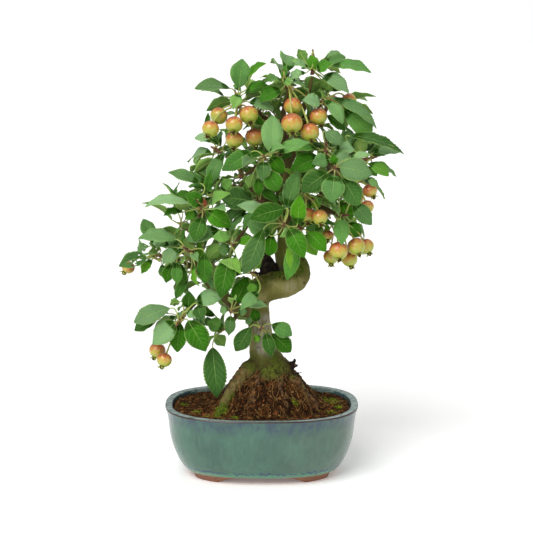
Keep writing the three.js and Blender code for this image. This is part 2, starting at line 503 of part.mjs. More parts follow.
  // the chosen leaves, swung back or forth in depth until they are clear
  const swings = [0, 4, -4, 8, -8, 12, -12, 16, -16, 20, -20, 25, -25];
  for (const one of plan) {
    const ahead = one.spray.leaves.map((l) => at(l).dot(one.out));
    one.spray.leaves.forEach((l, index) => {
      const k = ahead.filter((a, other) => a < ahead[index] || (a === ahead[index] && other < index)).length;
      const look = V(0, -Math.sin(THREE.MathUtils.degToRad(l[7])), Math.cos(THREE.MathUtils.degToRad(l[7])));
      for (const swing of swings) {
        const base = one.hub.clone().add(V(l[0], l[1] + swing * 0.5, l[2] - swing * 0.1));
        const root = rootOn(one, k, base);
        const tip = one.hub.clone().add(V(l[3], l[4] + swing, l[5] - swing * 0.2));
        const leaf = makeLeaf(base, tip, l[6], look, root);
        if (fits(leaf, one.index, false)) {
          place(one, leaf, true);
          return;
        }
      }
    });
  }

  // the leaves added by rule, on a spiral round the spur
  const golden = THREE.MathUtils.degToRad(137.5);
  const room = { left: -127, right: 127, deep: 87, top: 388, low: 92 };
  for (const one of plan) {
    const around = Math.abs(one.out.z) < 0.9 ? V(0, 0, 1) : V(1, 0, 0);
    const e1 = around.cross(one.out).normalize();
    const e2 = one.out.clone().cross(e1);
    const outward = V(one.hub.x - 15, one.hub.y - 5, 0).normalize();
    for (let k = 0; k < one.spray.fill; k++) {
      for (let tries = 0; tries < 14; tries++) {
        const turn = k * golden + tries * 0.8 + random() * 0.5;
        const lean = 0.7 + random() * 0.8;
        const length = 27 + random() * 13;
        const stem = 9 + random() * 10;
        const width = length * (0.46 + random() * 0.12);
        const droop = random() * 0.4;
        const tilt = 0.35 + random() * 0.9;
        const way = one.out.clone().multiplyScalar(Math.cos(lean))
          .addScaledVector(e1, Math.sin(lean) * Math.cos(turn))
          .addScaledVector(e2, Math.sin(lean) * Math.sin(turn));
        const base = one.hub.clone().addScaledVector(way, stem);
        const root = rootOn(one, one.spray.leaves.length + k, base);
        const tip = base.clone().addScaledVector(way.add(V(0, 0, -droop)).normalize(), length);
        const look = outward.clone().multiplyScalar(Math.sin(tilt)).add(V(0, 0, Math.cos(tilt)));
        const inside = tip.x > room.left && tip.x < room.right && Math.abs(tip.y) < room.deep
          && tip.z < room.top && tip.z > room.low && base.z > room.low;
        const leaf = makeLeaf(base, tip, width, look, root);
        if (inside && fits(leaf, one.index, true)) {
          place(one, leaf, false);
          break;
        }
      }
    }
  }
  for (const one of plan) one.spurLength = spurLength(one);
  return plan;
}

const treePlan = drawPlan();

// ---------------------------------------------------------------- geometry helpers

// One closed solid from an indexed geometry
function toSolid(geometry) {
  const bare = new THREE.BufferGeometry();
  bare.setAttribute("position", geometry.getAttribute("position"));
  bare.setIndex(geometry.getIndex());
  const merged = mergeVertices(bare, 1e-4);
  return new wasm.Manifold(new wasm.Mesh({
    numProp: 3,
    vertProperties: new Float32Array(merged.getAttribute("position").array),
    triVerts: new Uint32Array(merged.getIndex().array),
  }));
}

function toGeometry(solid) {
  const mesh = solid.getMesh();
  const geometry = new THREE.BufferGeometry();
  geometry.setAttribute("position", new THREE.BufferAttribute(mesh.vertProperties, 3));
  geometry.setIndex(new THREE.BufferAttribute(mesh.triVerts, 1));
  geometry.computeVertexNormals();
  return geometry;
}

function indexed(points, triangles) {
  const geometry = new THREE.BufferGeometry();
  geometry.setAttribute("position", new THREE.Float32BufferAttribute(points.flatMap((p) => p.toArray()), 3));
  geometry.setIndex(triangles);
  return geometry;
}

// Rings of equal count joined up in order, with the first and last closed by a flat cap.
// Seen along the way from the first ring to the last, each ring runs clockwise.
function loft(rings) {
  const count = rings[0].length;
  const points = rings.flat();
  const triangles = [];
  for (let r = 0; r + 1 < rings.length; r++) {
    for (let i = 0; i < count; i++) {
      const a = r * count + i;
      const b = r * count + ((i + 1) % count);
      triangles.push(a, b, b + count, a, b + count, a + count);
    }
  }
  for (let i = 1; i + 1 < count; i++) {
    const last = (rings.length - 1) * count;
    triangles.push(0, i + 1, i, last, last + i, last + i + 1);
  }
  return indexed(points, triangles);
}

// A tapering round limb through [x, y, z, radius] points, "grow" thicker all round
function limbGeometry(path, sides, grow = 0, steps = 1) {
  const curve = new THREE.CatmullRomCurve3(path.map(at), false, "centripetal");
  const count = (path.length - 1) * steps;
  const rings = [];
  let normal = null;
  for (let i = 0; i <= count; i++) {
    const t = i / count;
    const k = Math.min(path.length - 2, Math.floor(t * (path.length - 1)));
    const s = t * (path.length - 1) - k;
    const radius = path[k][3] + (path[k + 1][3] - path[k][3]) * s + grow;
    const point = curve.getPoint(t);
    const tangent = curve.getTangent(t);
    if (!normal) normal = Math.abs(tangent.z) < 0.9 ? V(0, 0, 1) : V(1, 0, 0);
    normal.addScaledVector(tangent, -normal.dot(tangent)).normalize();
    const binormal = tangent.clone().cross(normal);
    const end = i === 0 ? -grow : i === count ? grow : 0;
    point.addScaledVector(tangent, end);
    rings.push(Array.from({ length: sides }, (_, j) => {
      const angle = (j / sides) * 2 * Math.PI;
      return point.clone().addScaledVector(normal, radius * Math.cos(angle))
        .addScaledVector(binormal, radius * Math.sin(angle));
    }));
  }
  return loft(rings);
}

// ---------------------------------------------------------------- pot, screens and soil

function ovalRing(inset, height) {
  const halfX = pot.width / 2 - inset;
  const halfY = pot.depth / 2 - inset;
  return Array.from({ length: pot.sides }, (_, i) => {
    const angle = ((i + 0.5) / pot.sides) * 2 * Math.PI;
    const bend = (value) => Math.sign(value) * Math.pow(Math.abs(value), 2 / pot.roundness);
    const x = halfX * bend(Math.cos(angle));
    const y = halfY * bend(Math.sin(angle));
    return V(x, y, height === null ? footHeight(x, y) : height);
  });
}

// The foot stands on its four corners and rises in an arch on each side
function footHeight(x, y) {
  const overLong = Math.max(0, 1 - Math.pow(Math.abs(x) / pot.archHalfX, 4));
  const overShort = Math.max(0, 1 - Math.pow(Math.abs(y) / pot.archHalfY, 4));
  return pot.archHeight * Math.max(overLong, overShort);
}

function makePot() {
  let body = toSolid(loft(potWall.map(([inset, height]) => ovalRing(inset, height))));
  for (const x of [-pot.drainX, pot.drainX]) {
    const drill = new THREE.CylinderGeometry(pot.drainRadius, pot.drainRadius, 30, 16);
    drill.rotateX(Math.PI / 2).translate(x, 0, pot.floorTop);
    body = body.subtract(toSolid(drill));
  }
  return body;
}

function makeScreen(x) {
  let sheet = toSolid(new THREE.BoxGeometry(screen.size, screen.size, screen.thickness));
  const step = screen.size / (screen.holesAcross + 0.5);
  for (let i = 0; i < screen.holesAcross; i++) {
    for (let j = 0; j < screen.holesAcross; j++) {
      const hole = new THREE.BoxGeometry(screen.hole, screen.hole, 3 * screen.thickness);
      const middle = (screen.holesAcross - 1) / 2;
      sheet = sheet.subtract(toSolid(hole.translate((i - middle) * step, (j - middle) * step, 0)));
    }
  }
  const geometry = toGeometry(sheet);
  return geometry.translate(x, 0, pot.floorTop + gap + screen.thickness / 2);
}

function moundHeight(x, y) {
  const rx = (x - soil.centreX) / soil.moundReach;
  const ry = y / soil.moundReachDepth;
  const rise = 1 - THREE.MathUtils.smoothstep(Math.hypot(rx, ry), soil.moundTop, 1);
  return pot.height - soil.rimDrop + soil.moundRise * rise;
}

function makeSoil() {
  const inner = potWall.filter(([, height], i) => i >= 14 && height < pot.height - soil.rimDrop);
  const rings = inner.map(([inset, height]) => ovalRing(inset + 1.6 * gap, height + (height === soil.bottom ? gap : 0)));
  rings.reverse();
  const edge = pot.height - soil.rimDrop;
  rings.push(ovalRing(potWall[14][0] + 1.6 * gap, edge));
  for (const share of [0.72, 0.48, 0.26]) {
    rings.push(ovalRing(potWall[14][0] + 1.6 * gap, 0).map((p) => {
      const x = p.x * share + soil.centreX * (1 - share);
      const y = p.y * share;
      return V(x, y, moundHeight(x, y));
    }));
  }
  let body = toSolid(loft(rings));
  for (const x of [-pot.drainX, pot.drainX]) {
    const hollow = new THREE.BoxGeometry(screen.size + 2 * gap, screen.size + 2 * gap, 4);
    hollow.translate(x, 0, pot.floorTop + gap + screen.thickness + gap - 2);
    body = body.subtract(toSolid(hollow));
  }
  for (const limb of limbs) {
    const low = limb.path.reduce((z, p) => Math.min(z, p[2]), 999);
    if (low < 112) body = body.subtract(toSolid(limbGeometry(limb.path, limb.sides, 1.3 * gap)));
  }
  return body;
}

// ---------------------------------------------------------------- wood, leaves and fruit

function makeWood() {
  const parts = limbs.map((limb) => limbGeometry(limb.path, limb.sides));
  for (const one of treePlan) {
    if (one.twig) parts.push(barGeometry(one.twig.map(at), one.twig.map((p) => 1.15 * p[3])));
  }
  return parts.map(toSolid).reduce((whole, part) => whole.add(part));
}

// Points along each edge of the blade, as [place along it, share of its half width]: one cut tooth a side
const edgeLarge = [[0.2, 1], [0.54, 1.05], [0.64, 0.86]];
const edgeSmall = [[0.28, 1], [0.68, 1]];

function leafGeometry(leaf) {
  const edge = leaf.width > 14 ? edgeLarge : edgeSmall;
  const ribs = edge === edgeSmall ? [] : leaf.length > 38 ? [0.3, 0.68] : [0.45];
  const foot = petiole.halfWidth;
  const top = [leaf.base.clone().addScaledVector(leaf.side, -foot)];
  for (const [t, share] of edge) top.push(bladePoint(leaf, t, -share));
  top.push(leaf.tip.clone());
  for (const [t, share] of [...edge].reverse()) top.push(bladePoint(leaf, t, share));
  top.push(leaf.base.clone().addScaledVector(leaf.side, foot));
  const n = top.length;
  const tip = (n - 1) / 2;
  for (const t of ribs) top.push(bladePoint(leaf, t, 0));
  // the underside, where the blade's two lower corners at the stem meet in one keel
  const keel = top.length;
  const points = [...top, leaf.base.clone().addScaledVector(leaf.normal, -petiole.depth)];
  for (let i = 1; i < keel; i++) {
    if (i !== n - 1) points.push(top[i].clone().addScaledVector(leaf.normal, -blade.thickness));
  }
  const under = (i) => (i === 0 || i === n - 1 ? keel : keel + (i < n - 1 ? i : i - 1));

  const faces = [];
  let rib = 0;
  for (let i = 0; i < tip && !ribs.length; i++) {
    faces.push([i, i + 1, n - 2 - i]);
    if (i > 0) faces.push([i, n - 2 - i, n - 1 - i]);
  }
  for (let i = 0; i < tip && ribs.length; i++) {
    if (rib + 1 < ribs.length && i > 1) {
      faces.push([i, n + rib + 1, n + rib], [n - 1 - i, n + rib, n + rib + 1]);
      rib += 1;
    }
    faces.push([i, i + 1, n + rib], [n - 1 - i, n + rib, n - 2 - i]);
  }
  const triangles = [ribs.length ? [0, n, n - 1] : [0, n - 2, n - 1]];
  for (const [p, q, r] of faces) triangles.push([p, q, r], [under(p), under(r), under(q)]);
  for (let i = 0; i + 1 < n; i++) triangles.push([i + 1, i, under(i)], [i + 1, under(i), under(i + 1)]);

  // the stem: a three-sided bar from the blade's foot back to its root, in two lengths where it bends
  let ring = [0, n - 1, keel];
  const extend = (corners) => {
    const start = points.length;
    points.push(...corners);
    for (let i = 0; i < 3; i++) {
      const next = (i + 1) % 3;
      triangles.push([ring[i], ring[next], start + next], [ring[i], start + next, start + i]);
    }
    ring = [start, start + 1, start + 2];
  };
  const way = leaf.base.clone().sub(leaf.root);
  if (way.clone().normalize().dot(leaf.axis) < 0.5 || way.length() > 24) {
    const middle = stemPoint(leaf.root, leaf.base, leaf.axis, 0.55);
    way.copy(middle).sub(leaf.root);
    const ahead = way.clone().normalize();
    const across = leaf.side.clone().addScaledVector(ahead, -leaf.side.dot(ahead));
    if (across.length() < 0.3) across.copy(leaf.normal).cross(ahead);
    across.normalize();
    const height = ahead.clone().cross(across);
    extend([[-foot, 0], [foot, 0], [0, -petiole.depth]].map(([a, h]) =>
      middle.clone().addScaledVector(across, a).addScaledVector(height, h)));
  }
  way.addScaledVector(leaf.normal, -petiole.depth / 3);
  extend(ring.map((i) => points[i].clone().sub(way)));
  triangles.push(ring);
  return indexed(points, triangles.flat());
}

function makeSpray(one) {
  const from = one.hub.clone().addScaledVector(one.out, -spur.back);
  const to = one.hub.clone().addScaledVector(one.out, one.spurLength);
  const path = [[...from.toArray(), spur.radius], [...to.toArray(), spur.radius * 0.8]];
  let body = toSolid(limbGeometry(path, spur.sides));
  for (const leaf of one.leaves) body = body.add(toSolid(leafGeometry(leaf)));
  return body;
}

// A small pome: flattened at the stalk, drawn in towards the calyx
const smallPomeProfile = [[0, 0.86], [0.5, 0.86], [1, 0.06], [0.5, -0.92], [0, -0.92]];
const pomeProfile = [[0, 0.86], [0.5, 0.86], [0.97, 0.36], [0.92, -0.44], [0.42, -0.95], [0, -0.95]];
const pomeSides = 6;

// A three-sided bar through the points, its section held the same way all along
function barGeometry(points, radii) {
  const ahead = points.at(-1).clone().sub(points[0]).normalize();
  const first = (Math.abs(ahead.z) < 0.9 ? V(0, 0, 1) : V(1, 0, 0)).cross(ahead).normalize();
  const second = ahead.clone().cross(first);
  return loft(points.map((point, k) => [0, 1, 2].map((i) => point.clone()
    .addScaledVector(first, radii[k] * Math.cos((i * 2 * Math.PI) / 3))
    .addScaledVector(second, radii[k] * Math.sin((i * 2 * Math.PI) / 3)))));
}

function makeBunch(one) {
  const size = 2.8;
  let body = toSolid(new THREE.BoxGeometry(size, size, size).translate(...one.knob.toArray()));
  for (const fruit of one.fruit) {
    const outline = fruit.radius < 7.5 ? smallPomeProfile : pomeProfile;
    const profile = outline.map(([r, h]) => new THREE.Vector2(r * fruit.radius, h * fruit.radius));
    const pome = new THREE.LatheGeometry(profile.reverse(), pomeSides);
    const turn = new THREE.Quaternion().setFromUnitVectors(V(0, 1, 0), fruit.up);
    pome.applyQuaternion(turn).translate(...fruit.centre.toArray());
    body = body.add(toSolid(pome));
    const way = fruit.up.clone().negate();
    const sunk = fruit.top.clone().addScaledVector(fruit.up, -1.5);
    const root = one.knob.clone().addScaledVector(fruit.top.clone().sub(one.knob).normalize(), 0.6);
    const middle = stemPoint(one.knob, fruit.top, way, 0.5);
    body = body.add(toSolid(barGeometry([root, middle, sunk], [stalk.radius, stalk.radius, stalk.radius])));
  }
  return body;
}

// ---------------------------------------------------------------- the object

const group = new THREE.Group();

function addPiece(name, geometry, colour, roughness) {
  const material = new THREE.MeshStandardMaterial({ color: colour, roughness, metalness: 0 });
  const mesh = new THREE.Mesh(geometry, material);
  mesh.name = name;
  group.add(mesh);
}

addPiece("pot", toGeometry(makePot()), colours.glaze, 0.25);
addPiece("drain_screen_left", makeScreen(-pot.drainX), colours.mesh, 0.6);
addPiece("drain_screen_right", makeScreen(pot.drainX), colours.mesh, 0.6);
addPiece("soil", toGeometry(makeSoil()), colours.soil, 0.95);
addPiece("trunk", toGeometry(makeWood()), colours.bark, 0.85);
for (const one of treePlan) {
  if (one.leaves.length) addPiece(`leaves_${one.spray.name}`, toGeometry(makeSpray(one)), colours.leaf, 0.6);
  if (one.fruit.length) addPiece(`fruit_${one.spray.name}`, toGeometry(makeBunch(one)), colours.fruit, 0.35);
}

export default group;
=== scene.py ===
import math

import bmesh
import bpy
import numpy as np
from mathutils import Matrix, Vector, noise


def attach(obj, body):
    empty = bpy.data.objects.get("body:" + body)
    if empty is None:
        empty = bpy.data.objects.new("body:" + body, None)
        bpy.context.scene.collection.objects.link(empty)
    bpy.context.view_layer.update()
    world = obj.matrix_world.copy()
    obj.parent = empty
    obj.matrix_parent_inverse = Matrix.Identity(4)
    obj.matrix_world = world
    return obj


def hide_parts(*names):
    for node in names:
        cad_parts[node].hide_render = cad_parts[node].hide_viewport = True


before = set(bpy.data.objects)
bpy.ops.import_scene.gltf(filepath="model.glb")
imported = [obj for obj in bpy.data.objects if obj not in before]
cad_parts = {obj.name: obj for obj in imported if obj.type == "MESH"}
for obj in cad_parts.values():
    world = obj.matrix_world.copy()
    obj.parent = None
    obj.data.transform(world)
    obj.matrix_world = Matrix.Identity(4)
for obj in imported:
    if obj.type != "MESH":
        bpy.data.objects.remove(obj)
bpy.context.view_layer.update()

mm = 0.001  # places and sizes below are in millimetres, the meshes in metres
gap = 0.35  # between pieces that touch


limbs = {  # each point of a centre line as x, y, z and the radius there
    "trunk": [[7, 0, 86, 22], [6, 0, 97, 22], [4, 0, 106, 16.5], [1, 0, 116, 12.8], [-1, 0, 132, 11.2],
        [-3, 0, 150, 10.6], [-4, -2, 163, 11.5], [0, -6, 174, 12.6], [9, -9, 178, 12.6],
        [20, -9, 180, 12.4], [30, -4, 183, 11.6], [34, 5, 190, 11.4], [27, 12, 197, 13.2],
        [23, 14, 206, 11.2], [22, 14, 217, 7.6], [20.5, 13, 228, 6.4], [17.5, 12, 242, 5.9],
        [17, 10, 256, 5.3], [20.5, 10, 274, 4.9], [24, 10, 294, 4.2]],
    "stem_left": [[23.5, 10, 288, 3.6], [21, 10, 304, 3.3], [19.5, 9, 318, 2.9], [20, 6, 336, 2.4],
        [24, 1, 357, 1.7]],
    "stem_right": [[24, 10, 288, 3.6], [31, 12, 304, 3.5], [33.5, 12, 318, 3.1], [38, 10, 339, 2.7],
        [43, 7, 356, 2.1], [46, 5, 369, 1.7]],
    "to_apex_left": [[20, 8, 322, 2.3], [6, 7, 330, 2], [-8, 4, 336, 1.8], [-18, 1, 340.5, 1.6]],
    "left": [[-4, -1, 150, 6], [-12, -1, 151.5, 5.2], [-22, -5, 156, 4.7], [-36, -8, 170, 4.2],
        [-49, -8, 182, 3.8], [-58, -9, 195, 3.3], [-61, -17, 205, 2.5], [-62, -27, 213, 1.8]],
    "left_up": [[-58, -9, 195, 2.8], [-63, -4, 214, 2.4], [-62, -6, 230, 2.1], [-55, -16, 243, 1.8],
        [-51, -26, 249, 1.6]],
    "left_out": [[-57, -8, 193, 2.6], [-70, -4, 199, 2], [-83, -1, 203, 1.8], [-89, 0, 204, 1.6]],
    "left_low": [[-44, -8, 177, 2.8], [-56, -12, 168, 2.1], [-64, -20, 161, 1.8], [-69, -28, 157, 1.6]],
    "mid_left": [[18, 12, 241, 3.2], [12, 8, 251, 2.7], [2, 4, 256, 2.4], [-9, 0, 267, 2.1],
        [-16, -2, 279, 1.8], [-25, 2, 290, 1.7], [-33, 4, 297, 1.6]],
    "right_mid": [[18, 12, 240, 3.8], [30, 9, 247, 3.3], [41, 6, 252, 3], [56, 2, 262, 2.6],
        [64, -4, 273, 2.3], [70, -4, 284, 2], [76, -3, 292, 1.8], [88, -1, 292.5, 1.6]],
    "right_low": [[38, 7, 251, 2.6], [52, 0, 251, 2.2], [62, -7, 248, 1.9], [67, -10.5, 245.5, 1.6]],
    "right_up": [[35, 12, 322, 2.2], [44, 8, 332, 1.9], [50, 2, 338, 1.7], [52, -1.5, 342, 1.6]],
    "back_mid": [[21, 13, 232, 3.6], [17, 28, 242, 3], [8, 44, 254, 2.5], [2, 56, 268, 1.9],
        [0, 62, 279, 1.6]],
    "back_right": [[20, 20, 236, 2.8], [36, 34, 240, 2.3], [52, 46, 246, 1.9], [62, 53, 251, 1.6]],
    "back_left": [[12, 38, 250, 2.5], [-8, 42, 254, 2.1], [-28, 44, 260, 1.8], [-38, 46, 265, 1.6]],
    "back_low": [[-26, -5, 161, 3], [-36, 10, 168, 2.5], [-46, 26, 178, 2.1], [-54, 40, 190, 1.8],
        [-57, 47, 197, 1.6]],
    "back_high": [[19.5, 9, 312, 2.4], [15, 22, 320, 2], [9, 34, 328, 1.8], [6, 39, 334, 1.6]],
    "back_high_right": [[32.5, 12, 312, 2.6], [42, 24, 320, 2.1], [52, 34, 327, 1.8], [57, 38, 331, 1.6]],
    "root_left": [[0, -2, 103, 11], [-13, -9, 97, 8.6], [-24, -19, 87, 6.6], [-32, -28, 76, 5.4],
        [-37, -35, 66, 4.2], [-40, -39, 58, 2.8]],
    "root_right": [[10, -3, 101, 10], [24, -10, 93, 6.6], [37, -16, 84, 4.6], [47, -22, 72, 3.4],
        [55, -26, 61, 2.4]],
    "root_front": [[8, -6, 100, 7], [14, -20, 94, 4.4], [20, -31, 80, 3.2], [24, -39, 68, 2.4],
        [26, -43, 60, 1.8]],
    "root_front_left": [[3, -6, 98, 6], [-4, -22, 92, 3.6], [-9, -33, 77, 2.8], [-12, -41, 65, 2]],
    "root_back": [[4, 4, 101, 9], [-4, 18, 94, 6], [-12, 30, 80, 4.4], [-18, 39, 68, 3.2],
        [-20, 43, 60, 2.4]],
    "root_back_right": [[8, 3, 101, 8], [22, 14, 93, 5.2], [36, 24, 80, 3.8], [46, 31, 67, 2.8],
        [50, 34, 60, 2.2]],
    "snag_tall": [[17, -5, 181, 5.4], [9, -1, 197, 4.2], [2, 0, 207, 2.8], [-2, -1, 214, 1.4]],
    "snag_short": [[9, -7, 179, 5], [2, -5, 193, 3.4], [-4, -6, 199, 1.8]],
    "snag_root": [[24, -4, 96, 3.4], [29, -6, 104, 2.2], [31, -6, 109, 1.4]],
}

